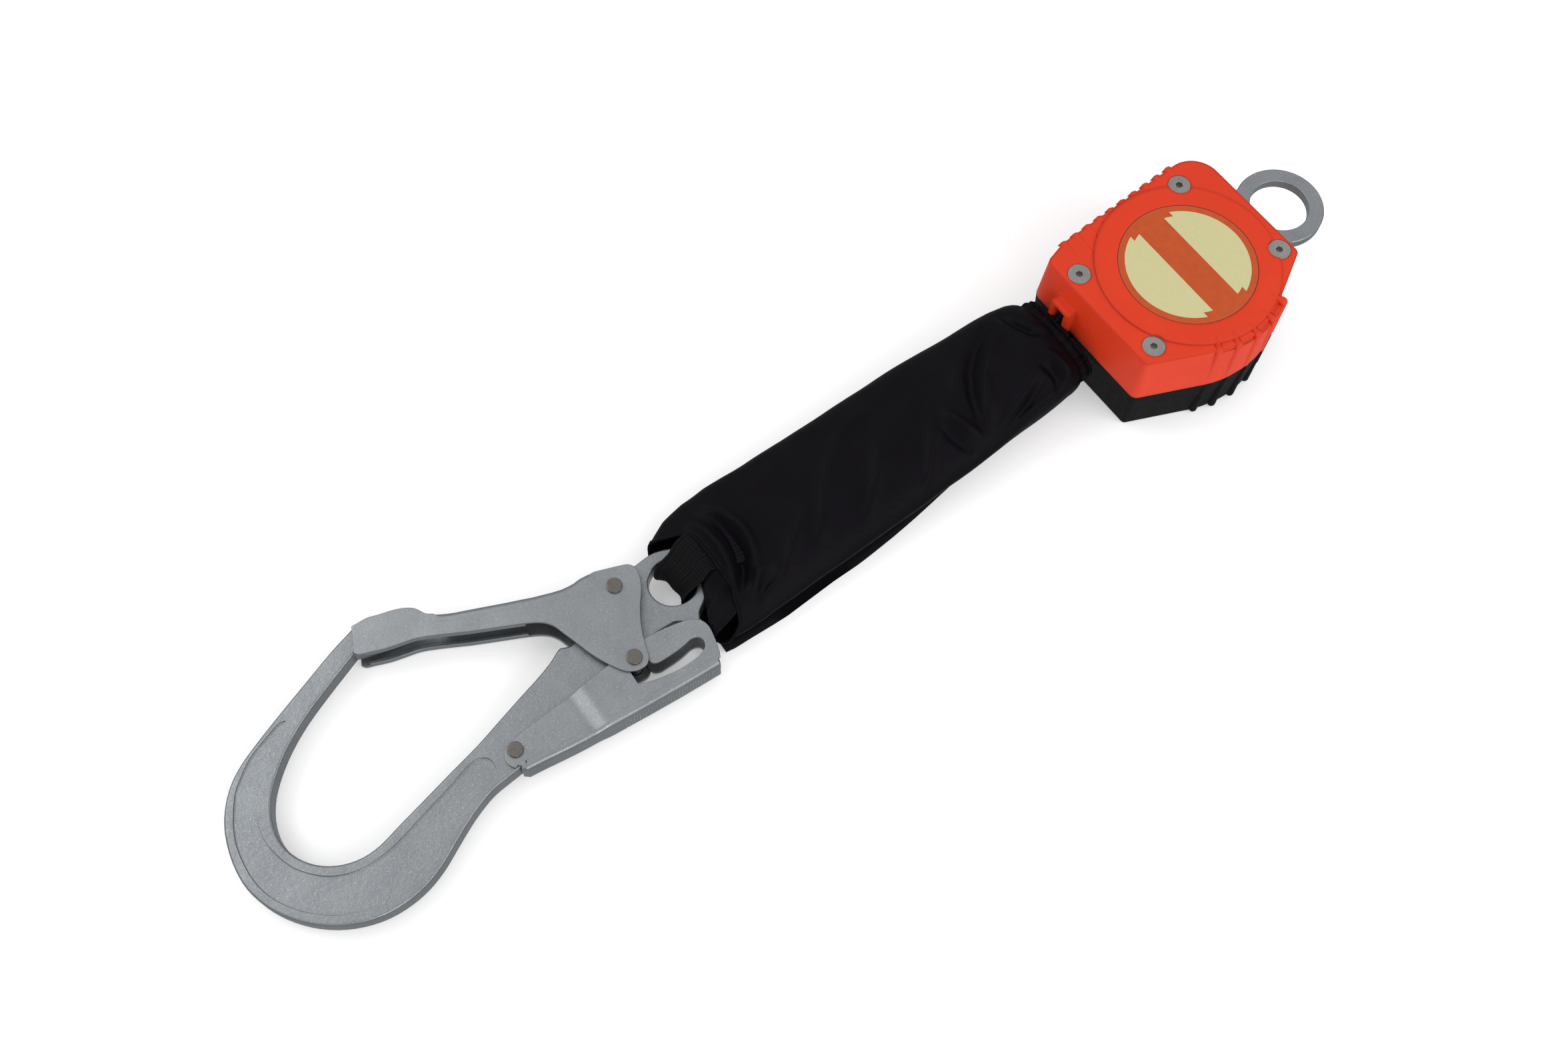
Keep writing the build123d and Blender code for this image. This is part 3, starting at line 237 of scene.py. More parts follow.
def label(name, full_radius=0.0290, full_gap=0.0118, near_radius=0.0264, near_gap=0.0076,
          rim_radius=0.03165):
    """Round label: cream on both sides of an orange band along Y, inside a darker rim.

    The gaps are the band's half widths, at the cream's full and nearer radius.
    """
    m = Material(name)
    x, y = m.axes(m.place)[:2]
    dx = m.math('SUBTRACT', x, DRUM[0] * MM)
    dy = m.math('SUBTRACT', y, DRUM[1] * MM)
    radius = m.math('SQRT', m.math('ADD', m.math('MULTIPLY', dx, dx), m.math('MULTIPLY', dy, dy)))
    side = m.math('ABSOLUTE', dx)

    def cream_zone(limit, gap):
        return m.math('MULTIPLY', m.math('LESS_THAN', radius, limit),
                      m.math('GREATER_THAN', side, gap))

    full = cream_zone(full_radius, full_gap)
    cream_area = m.math('MAXIMUM', full, cream_zone(near_radius, near_gap))
    paper = m.noise(scale=700, detail=4)
    cream = m.mix(m.remap(paper), (0.575, 0.535, 0.275), (0.60, 0.555, 0.29))
    orange = m.mix(m.remap(m.noise(scale=300, detail=3)), (0.475, 0.066, 0.010),
                   (0.53, 0.080, 0.014))
    colour = m.mix(cream_area, orange, cream)
    colour = m.mix(m.math('GREATER_THAN', radius, rim_radius), colour, (0.42, 0.10, 0.04))
    normal = m.bump(m.noise(scale=1100, detail=2), strength=0.15, depth=0.00002)
    return m.finish({'Base Color': colour, 'Roughness': m.remap(paper, to=(0.30, 0.40)),
                     'Normal': normal, 'Specular IOR Level': 0.25, 'Coat Weight': 0.06,
                     'Coat Roughness': 0.2})


ORANGE = plastic('orange_plastic', (0.66, 0.040, 0.0105), (0.72, 0.046, 0.0125), rough=0.44,
                 grain=1300, relief=0.00003, specular=0.20, bevel=0.0030)
BLACK = plastic('black_plastic', (0.0042, 0.0036, 0.0044), (0.0062, 0.0054, 0.0064), rough=0.55,
                grain=900, relief=0.00005, specular=0.07, bevel=0.0014)
ZINC = metal('zinc_plated_steel', (0.240, 0.254, 0.267), (0.308, 0.325, 0.338), rough=0.36,
             spangle=0.25, relief=0.00002, bevel=0.0003)
FORGED = metal('zinc_plated_forging', (0.222, 0.236, 0.249), (0.288, 0.305, 0.318), rough=0.38,
               spangle=0.35, relief=0.00004, grain=900)
RIVET = metal('rivet_steel', (0.135, 0.123, 0.112), (0.20, 0.186, 0.170), rough=0.26,
              spangle=0.2, bevel=0.0005)
STAINLESS = metal('stainless', (0.27, 0.26, 0.25), (0.345, 0.335, 0.32), rough=0.32,
                  bevel=0.0002)
STEEL = metal('machined_steel', (0.32, 0.32, 0.33), (0.42, 0.42, 0.43), rough=0.30)
SPRING = metal('spring_steel', (0.15, 0.15, 0.16), (0.22, 0.22, 0.23), rough=0.28, spangle=0.1)
BRASS = metal('brass', (0.52, 0.35, 0.12), (0.62, 0.44, 0.18), rough=0.30)
NATURAL = plastic('natural_nylon', (0.50, 0.47, 0.40), (0.60, 0.57, 0.50), rough=0.45,
                  grain=800, relief=0.00003)
NYLON = cloth('black_nylon_cloth', (0.0022, 0.0017, 0.0028), (0.0040, 0.0033, 0.0050),
              pitch=0.0007, rough=0.46)
ELASTIC = cloth('black_elastic', (0.0040, 0.0036, 0.0042), (0.0065, 0.0058, 0.0066),
                pitch=0.0011, rough=0.8)
WEBBING = webbing('black_webbing', (0.0026, 0.0024, 0.0029), (0.0046, 0.0042, 0.0050))
LABEL = label('printed_label')

# material, then the CAD pieces that wear it
CAD_MATERIALS = [
    (ORANGE, 'front_shell'), (BLACK, 'rear_shell'), (LABEL, 'front_label'),
    (STAINLESS, 'housing_screws'), (BRASS, 'threaded_inserts axle_bushes'),
    (ZINC, 'anchor_plate frame_plate_front frame_plate_rear gate lever'),
    (STEEL, 'anchor_pins guide_pins axle ratchet_ring ring_rivets pawl_disc pawl_a pawl_b '
            'pawl_pins'),
    (NATURAL, 'drum_hub drum_flange_front drum_flange_rear spring_case'),
    (ELASTIC, 'webbing_coil webbing_lead neck_band absorber_pack webbing_tail webbing_loop'),
    (SPRING, 'pawl_springs axle_clip recoil_spring gate_spring lever_spring'),
    (NYLON, 'sleeve'), (FORGED, 'hook_body'), (RIVET, 'gate_rivet slot_pin lever_rivet')]
MATERIAL_OF = {piece: material for material, pieces in CAD_MATERIALS for piece in pieces.split()}
for name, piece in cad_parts.items():
    piece.data.materials.clear()
    piece.data.materials.append(MATERIAL_OF[name])


# ---------------------------------------------------------------- mesh helpers
def link_obj(name, mesh):
    obj = bpy.data.objects.new(name, mesh)
    scene.collection.objects.link(obj)
    return obj


def shade(obj, angle=35):
    """Outward normals, smooth faces, and sharp edges where faces meet above the angle."""
    mesh = obj.data
    bm = bmesh.new()
    bm.from_mesh(mesh)
    bmesh.ops.recalc_face_normals(bm, faces=bm.faces)
    bm.to_mesh(mesh)
    bm.free()
    for face in mesh.polygons:
        face.use_smooth = True
    mesh.set_sharp_from_angle(angle=radians(angle))
    mesh.update()


def new_obj(name, verts, faces, material, sharp_angle):
    mesh = bpy.data.meshes.new(name)
    mesh.from_pydata([(x * MM, y * MM, z * MM) for x, y, z in verts], [], faces)
    mesh.validate()
    mesh.update()
    obj = link_obj(name, mesh)
    mesh.materials.append(material)
    shade(obj, sharp_angle)
    return obj


def evaluated_mesh(obj):
    graph = bpy.context.evaluated_depsgraph_get()
    graph.update()
    return bpy.data.meshes.new_from_object(obj.evaluated_get(graph))


def apply_mods(obj):
    mesh = evaluated_mesh(obj)
    materials = list(obj.data.materials)
    obj.modifiers.clear()
    obj.data = mesh
    # guards against a modifier that drops the material slots
    if not mesh.materials:
        for material in materials:
            mesh.materials.append(material)


def plate(name, outer, holes, z_range, material, bevel, steps=3):
    """A flat part with rounded rims."""
    z0, z1 = z_range
    curve = bpy.data.curves.new(name, 'CURVE')
    curve.dimensions = '2D'
    curve.fill_mode = 'BOTH'
    for loop in [outer] + holes:
        spline = curve.splines.new('POLY')
        spline.points.add(len(loop) - 1)
        for point, (x, y) in zip(spline.points, loop):
            point.co = (x * MM, y * MM, 0, 1)
        spline.use_cyclic_u = True
    curve.extrude = ((z1 - z0) / 2 - bevel) * MM
    curve.bevel_depth = bevel * MM
    curve.bevel_resolution = steps
    curve.offset = -bevel * MM
    source = link_obj(name + '_c', curve)
    mesh = evaluated_mesh(source)
    bpy.data.objects.remove(source)
    mesh.transform(Matrix.Translation((0, 0, (z0 + z1) / 2 * MM)))
    obj = link_obj(name, mesh)
    bm = bmesh.new()
    bm.from_mesh(mesh)
    bmesh.ops.remove_doubles(bm, verts=bm.verts, dist=1e-6)
    bm.to_mesh(mesh)
    bm.free()
    mesh.materials.clear()
    mesh.materials.append(material)
    shade(obj)
    return obj


def flatten_faces(obj):
    """Large faces keep their own normal; rounded rims stay smooth."""
    weighted = obj.modifiers.new('wn', 'WEIGHTED_NORMAL')
    weighted.keep_sharp = True
    weighted.weight = 100
    weighted.mode = 'FACE_AREA'
    apply_mods(obj)


def join(parts, name, sharp_angle):
    bm = bmesh.new()
    for part in parts:
        bm.from_mesh(part.data)
    mesh = bpy.data.meshes.new(name)
    bm.to_mesh(mesh)
    bm.free()
    mesh.materials.append(parts[0].data.materials[0])
    for part in parts:
        bpy.data.objects.remove(part)
    obj = link_obj(name, mesh)
    for face in mesh.polygons:
        face.use_smooth = True
    mesh.set_sharp_from_angle(angle=radians(sharp_angle))
    return obj


def cut(obj, tool):
    boolean = obj.modifiers.new('b', 'BOOLEAN')
    boolean.operation = 'DIFFERENCE'
    boolean.object = tool
    boolean.solver = 'EXACT'
    apply_mods(obj)
    bpy.data.objects.remove(tool)


def loft(rings, sides, first=0, closed=False):
    """Quads between neighbouring closed rings of vertices."""
    faces = []
    for i in range(first, rings if closed else rings - 1):
        a, b = i * sides, (i + 1) % rings * sides
        for k in range(sides):
            k2 = (k + 1) % sides
            faces.append((a + k, a + k2, b + k2, b + k))
    return faces


def end_caps(rings, sides):
    last = (rings - 1) * sides
    return [tuple(range(sides)), tuple(last + k for k in range(sides - 1, -1, -1))]


def add_part(target, part):
    """Append one (vertices, faces) pair to another."""
    offset = len(target[0])
    target[0].extend(part[0])
    target[1].extend(tuple(offset + k for k in face) for face in part[1])


def capsule(start, end, radius, sides=14, cap_steps=5):
    """Round-ended rod: (vertices, faces)."""
    a, b = np.array(start, float), np.array(end, float)
    axis = (b - a) / np.linalg.norm(b - a)
    u = np.cross(axis, (1.0, 0.3, 0.2))
    u /= np.linalg.norm(u)
    v = np.cross(axis, u)
    rings = []
    for k in range(1, cap_steps + 1):
        angle = pi / 2 * (1 - k / cap_steps)
        rings.append((a - axis * radius * sin(angle), radius * cos(angle)))
    for k in range(cap_steps):
        angle = pi / 2 * k / cap_steps
        rings.append((b + axis * radius * sin(angle), radius * cos(angle)))
    verts = []
    for centre, size in rings:
        for k in range(sides):
            angle = 2 * pi * k / sides
            verts.append(tuple(centre + (u * cos(angle) + v * sin(angle)) * size))
    faces = loft(len(rings), sides)
    tip, last = len(verts), (len(rings) - 1) * sides
    verts += [tuple(a - axis * radius), tuple(b + axis * radius)]
    for k in range(sides):
        k2 = (k + 1) % sides
        faces.append((tip, k2, k))
        faces.append((tip + 1, last + k, last + k2))
    return verts, faces


# ---------------------------------------------------------------- outline helpers
def ease(t):
    """Smooth step from 0 to 1, clamped."""
    t = min(max(t, 0.0), 1.0)
    return t * t * (3 - 2 * t)


def ramp(x, start, length):
    """Smooth step that begins at X = start and ends `length` further towards -X."""
    return ease((start - x) / length)


def both_sides(near, far):
    """Z ranges above and below the hook's mid-plane, from its near to its far distance."""
    return (HOOK_Z + near, HOOK_Z + far), (HOOK_Z - far, HOOK_Z - near)


def circle(centre, radius, count):
    return [(centre[0] + radius * cos(2 * pi * k / count),
             centre[1] + radius * sin(2 * pi * k / count)) for k in range(count)]


def smooth_closed(outline, corner, steps=3):
    """Centripetal Catmull-Rom curve; turns above `corner` degrees stay corners."""
    points = [np.array(p, float) for p in outline]
    count = len(points)
    is_corner = []
    for i in range(count):
        a, b = points[i] - points[i - 1], points[(i + 1) % count] - points[i]
        turn = abs(math.degrees(atan2(a[0] * b[1] - a[1] * b[0], float(a @ b))))
        is_corner.append(turn > corner)
    curve = []
    for i in range(count):
        p1, p2 = points[i], points[(i + 1) % count]
        p0 = p1 - (p2 - p1) if is_corner[i] else points[i - 1]
        p3 = p2 + (p2 - p1) if is_corner[(i + 1) % count] else points[(i + 2) % count]
        d1, d2, d3 = (max(np.linalg.norm(b - a), 1e-6) ** 0.5
                      for a, b in ((p0, p1), (p1, p2), (p2, p3)))
        slope1 = ((p1 - p0) / d1 - (p2 - p0) / (d1 + d2) + (p2 - p1) / d2) * d2
        slope2 = ((p2 - p1) / d2 - (p3 - p1) / (d2 + d3) + (p3 - p2) / d3) * d2
        for k in range(steps):
            t = k / steps
            t2, t3 = t * t, t * t * t
            q = ((2 * t3 - 3 * t2 + 1) * p1 + (t3 - 2 * t2 + t) * slope1
                 + (-2 * t3 + 3 * t2) * p2 + (t3 - t2) * slope2)
            curve.append((float(q[0]), float(q[1])))
    return curve


def subdivide(line, step=math.inf):
    """Split each segment into at least three pieces, more where it is long for the step."""
    points = []
    for a, b in zip(line[:-1], line[1:]):
        count = max(3, int(hypot(b[0] - a[0], b[1] - a[1]) / step))
        for k in range(count):
            points.append((a[0] + (b[0] - a[0]) * k / count, a[1] + (b[1] - a[1]) * k / count))
    return points + [line[-1]]


def with_normals(line):
    """An open line's points and its left-hand normals."""
    points = np.array(line, float)
    along = np.gradient(points, axis=0)
    along /= np.linalg.norm(along, axis=1)[:, None]
    return points, np.stack([-along[:, 1], along[:, 0]], 1)


def channel(name, line, side, half_heights, wall, reach, bend=2.2):
    """A zinc wall with rounded bends that joins two cheeks.

    line is its outer edge; side is 1 where outward is left of the line, -1 where right;
    reach is how far the wall's legs run inwards.
    """
    def section_side(depth, height, radius, steps):
        half = [(-reach, height)]
        for k in range(steps + 1):
            angle = pi / 2 * k / steps
            half.append((depth - radius + radius * sin(angle),
                         height - radius + radius * cos(angle)))
        return half + [(d, -z) for d, z in half[::-1]]

    points, normals = with_normals(line)
    verts = []
    for point, normal, height in zip(points, normals * side, half_heights):
        outer = section_side(0, height, bend, 6)
        inner = section_side(-wall, height - wall, bend - wall, 4)
        for d, z in outer + inner[::-1]:
            verts.append((point[0] + normal[0] * d, point[1] + normal[1] * d, HOOK_Z + z))
    sides = len(outer) + len(inner)
    faces = loft(len(points), sides)
    # each end is a band of faces between the outer and inner outlines
    across = [sides - 1 - round(k * (len(inner) - 1) / (len(outer) - 1))
              for k in range(len(outer))]
    for base in (0, (len(points) - 1) * sides):
        for k in range(len(outer) - 1):
            corners = (k, k + 1, across[k + 1], across[k])
            faces.append(tuple(dict.fromkeys(base + q for q in corners)))
    return new_obj(name, verts, faces, ZINC, 32)


# ---------------------------------------------------------------- hook body
# X, Y outlines. The outer edge runs from the tip round the bend to the shank.
HOOK_OUTER = [
    (-472.1, 77), (-485.3, 73), (-500.7, 67.2), (-516.6, 61.2), (-532.9, 54.6), (-541.4, 50.6),
    (-548.4, 46), (-554.6, 39.6), (-559.6, 31.8), (-563, 22.4), (-564.8, 12.3), (-564.7, 2.6),
    (-562.3, -6.8), (-558.1, -15.4), (-551.6, -24), (-543.4, -31.2), (-534, -36.4),
    (-524, -39.4), (-514, -40), (-504.9, -38.8), (-496, -35.8), (-488, -31.8), (-480, -27.6),
    (-471.5, -23.7), (-462, -20.6), (-453, -19.6), (-445, -18.8)]
# from the shank to the foot of the eye
HOOK_SHANK = [
    (-432, -16.4), (-418, -13.4), (-404, -9.6), (-394, -5.4), (-385, -2.3), (-371, -2.3),
    (-357.6, -2.3), (-354.4, -4.6), (-352.6, -9), (-350.6, -10.4), (-348.6, -10), (-347.2, -7.4),
    (-345, -4.2)]
EYE_RIM = [(EYE[0] + 16.6 * cos(radians(a)), EYE[1] + 16.6 * sin(radians(a)))
           for a in np.linspace(-58, 62, 16)]
# from the eye over the gate pivot to the opening
HOOK_SHOULDER = [
    (-345.6, 30.4), (-351, 30.6), (-357.4, 30.2), (-364, 32), (-370, 33.2), (-376.4, 31.6),
    (-381.6, 27), (-386.6, 21.6), (-392.6, 17.2), (-399.2, 14.8), (-401.4, 15.2),
    (-404.6, 16.6), (-406.8, 15.8)]
# round the opening, from the tip to the shoulder
HOOK_INNER = [
    (-478.2, 66.2), (-497, 58.6), (-510, 52.8), (-521.3, 46.2), (-530.2, 39.2), (-537.2, 31.8),
    (-541.8, 23.8), (-544, 15.4), (-543.6, 7.6), (-540.4, -0.4), (-535, -6.8), (-528, -11.2),
    (-520, -13.4), (-512, -13.2), (-500.5, -10.4), (-485.8, -6.9), (-471.3, -3.4), (-456.7, 0),
    (-443.1, 4), (-430, 7.8), (-418, 11.2), (-410.6, 13.9)]
HOOK_TIP = [
    (-470, 63.4), (-460, 62.2), (-452.4, 61.8), (-450, 64.4), (-450.6, 67.4), (-455, 70.6),
    (-462, 73.2), (-467, 74.6)]
# shallow recess on both faces, round the bend
RECESS = [
    (-460.6, -4.9), (-474.3, -8.3), (-489, -12.1), (-503.5, -15.9), (-512.4, -17.4),
    (-520.5, -17.5), (-527.6, -15.9), (-534.9, -12.2), (-539.9, -7.6), (-545, -0.6),
    (-548, 8.3), (-549, 16), (-547.2, 25.8), (-541.8, 35), (-534.5, 43.1), (-521.1, 52.9),
    (-516.8, 56.6), (-519.8, 57.2), (-528.4, 54.3), (-536.6, 51.1), (-543.7, 46.1),
    (-549.3, 41.1), (-553.7, 34.5), (-557.2, 28.1), (-559.6, 21.1), (-560.9, 12.2),
    (-560.9, 3.6), (-558.8, -5.4), (-554.6, -13.6), (-548.4, -21.4), (-540.6, -28),
    (-531.8, -32.6), (-522.6, -35.2), (-513.6, -35.8), (-505.2, -34.6), (-496.6, -31.6),
    (-488, -27.4), (-479.2, -23), (-470.6, -19.6), (-463.6, -18.2), (-458.2, -16.6),
    (-455.4, -12.6), (-455.8, -7.8)]

hook_outline = HOOK_OUTER + HOOK_SHANK + EYE_RIM + HOOK_SHOULDER + HOOK_INNER[::-1] + HOOK_TIP
hook = plate('hook_forging', smooth_closed(hook_outline, corner=34),
             [circle(EYE, 11.0, 48), circle(GATE_PIVOT, 3.05, 24), circle(LEVER_PIVOT, 2.55, 24)],
             (HOOK_Z - 4.6, HOOK_Z + 4.6), FORGED, bevel=1.1, steps=4)
for z_range in both_sides(3.7, 7.7):
    cut(hook, plate('tool', smooth_closed(RECESS, corner=60), [], z_range, FORGED, bevel=0.45,
                    steps=2))
shade(hook, 40)
flatten_faces(hook)
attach(hook, 'hook')
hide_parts('hook_body')

# ---------------------------------------------------------------- gate
# X, Y outline of a cheek
GATE = [
    (-473, 75.9), (-468.7, 75.8), (-465.1, 75.5), (-461, 74.1), (-454.2, 72.1), (-450.2, 70.3),
    (-447.8, 68.7), (-446.3, 67.3), (-445, 65), (-443.8, 62.6), (-441, 60.5), (-436.6, 57.8),
    (-428.1, 53.9), (-412.1, 46.8), (-401.3, 42.2), (-393.6, 39.4), (-389.7, 38.2),
    (-383.7, 37.5), (-380.4, 37.8), (-376.6, 37.5), (-371.5, 35.7), (-363.1, 32.5),
    (-359.4, 30.8), (-357.9, 28.8), (-357.6, 26.4), (-358.5, 22.5), (-360.8, 17.9),
    (-366.4, 10.5), (-370.1, 4.4), (-373.1, -2.1), (-375, -7.7), (-376.1, -10.7),
    (-378.2, -12.7), (-381, -13.3), (-384.4, -12.6), (-387.8, -10.4), (-390.2, -7),
    (-393.9, 0.3), (-396.4, 7.2), (-398.5, 14.8), (-400, 19.7), (-401.5, 24.7), (-403.8, 28.3),
    (-407.4, 31.3), (-413.1, 34.5), (-418.5, 37.2), (-433.7, 44.8), (-439.3, 47.9),
    (-449, 53.1), (-454.4, 55.5), (-459.5, 56.8), (-466.8, 58.8), (-473.6, 61.5),
    (-477.1, 62.9), (-478.2, 64.6)]
# X, Y line of the wall that joins the cheeks on their +Y side
GATE_WALL = [
    (-441, 60.5), (-438.6, 59), (-436.6, 57.8), (-432.6, 55.8), (-428.1, 53.9), (-420, 50.3),
    (-412.1, 46.8), (-406.4, 44.4), (-401.3, 42.2), (-393.6, 39.4), (-389.7, 38.2),
    (-386.6, 37.7), (-383.7, 37.5), (-380.4, 37.8), (-376.6, 37.4), (-374.6, 36.9)]
GATE_WALL_FROM, GATE_WALL_TO = -441.5, -374.0


def gate_cheek_point(x, y):
    """Draw the cheek's edge back where the wall runs along it."""
    wall_x, wall_y = np.array(GATE_WALL).T
    if not GATE_WALL_FROM <= x <= GATE_WALL_TO or abs(float(np.interp(x, wall_x, wall_y)) - y) >= 2.5:
        return x, y
    back = min(ease((x - GATE_WALL_FROM) / 3.0), ease((GATE_WALL_TO - x) / 3.0))
    return x - 0.35 * back, y - 1.7 * back


gate_outline = smooth_closed(GATE, corner=48)
gate_cheek = [gate_cheek_point(x, y) for x, y in gate_outline]
gate_parts = [plate('cheek', gate_cheek, [circle(GATE_PIVOT, 3.1, 24), circle(SLOT_PIN, 2.55, 24)],
                    z_range, ZINC, bevel=0.35) for z_range in both_sides(7.2, 8.7)]
# a narrow flange along the -Y edge of both cheeks, clear of the hook's shank
low_edge = [(x, y) for x, y in gate_outline
            if -475.5 <= x <= -411.0 and y < 69.0 - 0.452 * (x + 478.0)]
low_points, low_normals = with_normals(low_edge)
flange = [tuple(q) for q in low_points + 0.05 * low_normals]
flange += [tuple(q) for q in (low_points - 1.4 * low_normals)[::-1]]
for z_range in both_sides(5.1, 8.1):
    gate_parts.append(plate('flange', flange, [], z_range, ZINC, bevel=0.25, steps=2))
gate_wall = subdivide(GATE_WALL)
gate_parts.append(channel('bridge', gate_wall, 1, [8.73] * len(gate_wall), wall=1.5, reach=3.9))
gate = join(gate_parts, 'gate_channel', 40)
flatten_faces(gate)
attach(gate, 'gate')
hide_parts('gate')

# ---------------------------------------------------------------- lever
# X, Y outline of a cheek, then of the slot through it
LEVER = [
    (-448.5, -9.2), (-450.2, -11.6), (-450.8, -14.3), (-449.9, -17.2), (-446.6, -20.8),
    (-445.4, -22.1), (-438.3, -23), (-424.9, -25), (-412.8, -26.3), (-399.5, -27.6),
    (-388.6, -28.6), (-373.4, -29.8), (-352.8, -31), (-350, -26.8), (-348.6, -22.6),
    (-347.4, -18), (-346.7, -14), (-347.1, -11.1), (-348.2, -8.9), (-350.4, -7),
    (-353.7, -5.4), (-362.1, -3.4), (-373, -2), (-392.9, -3.2), (-403.7, -4.2),
    (-413.2, -5.2), (-424.5, -5.7), (-435, -6.4), (-444, -7.6)]
SLOT = [
    (-385.8, -7.6), (-384.6, -5.4), (-381.4, -4.6), (-378.4, -5.4), (-377, -8), (-376.6, -13),
    (-374.2, -14.6), (-369.7, -14.9), (-364.8, -14.9), (-360.6, -14.5), (-357.1, -14),
    (-354.9, -14.3), (-353.2, -15.3), (-352.4, -17.7), (-353.1, -19.9), (-354.4, -21.1),
    (-357.1, -22.2), (-362.3, -22.7), (-368.6, -22.6), (-375.7, -21.3), (-381, -20),
    (-386.5, -17.7)]
# X, Y line of the spine that joins the cheeks on their -Y side
SPINE = [
    (-447.4, -20.4), (-445.4, -22.1), (-438.3, -23), (-431, -24.1), (-424.9, -25),
    (-418, -25.8), (-412.8, -26.3), (-406, -27), (-399.5, -27.6), (-388.6, -28.6),
    (-381, -29.2), (-373.4, -29.8), (-362, -30.5), (-352.8, -31)]
LEVER_HALF = 6.2               # half height of the lever's narrow end
LEVER_WALL = 1.4


def joggle(x):
    """Half height of the lever's outer face at x; it steps out near X -410."""
    return (LEVER_HALF + 0.95 * ease((x + 412.6) / 5.6)
            - 0.16 * math.exp(-((x + 413.6) / 1.5) ** 2)
            + 0.10 * math.exp(-((x + 405.8) / 2.0) ** 2))


def bend_cheek(cheek, side):
    """Slice the cheek across the step, then move it out to the joggled height."""
    bm = bmesh.new()
    bm.from_mesh(cheek.data)
    for x in np.linspace(-417.5, -401.0, 34):
        bmesh.ops.bisect_plane(bm, geom=bm.verts[:] + bm.edges[:] + bm.faces[:],
                               plane_co=(x * MM, 0, 0), plane_no=(1, 0, 0))
    for vert in bm.verts:
        vert.co.z += side * (joggle(vert.co.x / MM) - LEVER_HALF) * MM
    bm.to_mesh(cheek.data)
    bm.free()


def grip_dots(columns=34, rows=4, sides=8):
    """Low studs on the spine's outer face, staggered from column to column."""
    spine_x, spine_y = np.array(SPINE).T
    verts, faces = [], []
    for i in range(columns):
        x = -400.0 + i * 1.38
        y = float(np.interp(x, spine_x, spine_y))
        for j in range(rows):
            z = HOOK_Z + (j - 1.5) * 2.3 + (0.6 if i % 2 else -0.6)
            base = len(verts)
            for radius, lift in ((0.48, 0.12), (0.26, -0.34)):
                for k in range(sides):
                    a = 2 * pi * k / sides
                    verts.append((x + radius * cos(a), y + lift, z + radius * sin(a)))
            verts.append((x, y - 0.44, z))
            for k in range(sides):
                k2 = (k + 1) % sides
                low, top = base + k, base + sides + k
                faces.append((low, base + k2, base + sides + k2, top))
                faces.append((top, base + sides + k2, base + 2 * sides))
            faces.append(tuple(base + k for k in range(sides - 1, -1, -1)))
    return new_obj('dots', verts, faces, ZINC, 50)


# the cheek's edge is drawn back along the spine
lever_cheek = [(x + 0.1, y + 1.9) if y < -19.5 and x < -351 else (x, y)
               for x, y in smooth_closed(LEVER, corner=48)]
lever_holes = [smooth_closed(SLOT, corner=60), circle(LEVER_PIVOT, 2.6, 24)]
lever_parts = []
for side, z_range in zip((1, -1), both_sides(LEVER_HALF - LEVER_WALL, LEVER_HALF)):
    cheek = plate('cheek', lever_cheek, lever_holes, z_range, ZINC, bevel=0.3)
    bend_cheek(cheek, side)
    lever_parts.append(cheek)
spine = subdivide(SPINE, step=1.2)
lever_parts.append(channel('spine', spine, -1, [joggle(x) + 0.03 for x, y in spine],
                           wall=LEVER_WALL, reach=4.0))
lever_parts.append(grip_dots())
lever = join(lever_parts, 'lever_channel', 40)
flatten_faces(lever)
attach(lever, 'lever')
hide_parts('lever')


# ---------------------------------------------------------------- lever spring
def lever_coil(turns=6.0, radius=2.3, wire=0.42, sides=10, closed_part=0.11):
    """Spring between the hook's shank and the lever's spine, coils closer at both ends."""
    x, y_start, length = -416.0, -13.9, 9.9
    steps = int(turns * 26)
    verts = []
    for i in range(steps + 1):
        t = i / steps
        if t <= closed_part:
            rise = t * 0.55
        elif t >= 1 - closed_part:
            rise = 1 - (1 - t) * 0.55
        else:
            middle = (t - closed_part) / (1 - 2 * closed_part)
            rise = closed_part * 0.55 + middle * (1 - 1.1 * closed_part)
        a = 2 * pi * turns * t
        centre = np.array((x + radius * cos(a), y_start - length * rise,
                           HOOK_Z + radius * sin(a)))
        outward = np.array((cos(a), 0, sin(a)))
        for k in range(sides):
            b = 2 * pi * k / sides
            verts.append(centre + outward * wire * cos(b)
                         + np.array((0, 1, 0)) * wire * sin(b))
    faces = loft(steps + 1, sides) + end_caps(steps + 1, sides)
    return new_obj('lever_coil', verts, faces, SPRING, 60)


coil = lever_coil()
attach(coil, 'hook')
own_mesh(coil)
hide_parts('lever_spring')

# ---------------------------------------------------------------- ribs on the housing
SCREWS = [(-48.2, 27.1), (-34.5, -26.8), (-118.6, 16.5), (-116.0, -32.1)]
GRIP_ANGLES = (-60, -74, -88, -101.5, -113.5)    # degrees round the drum axis


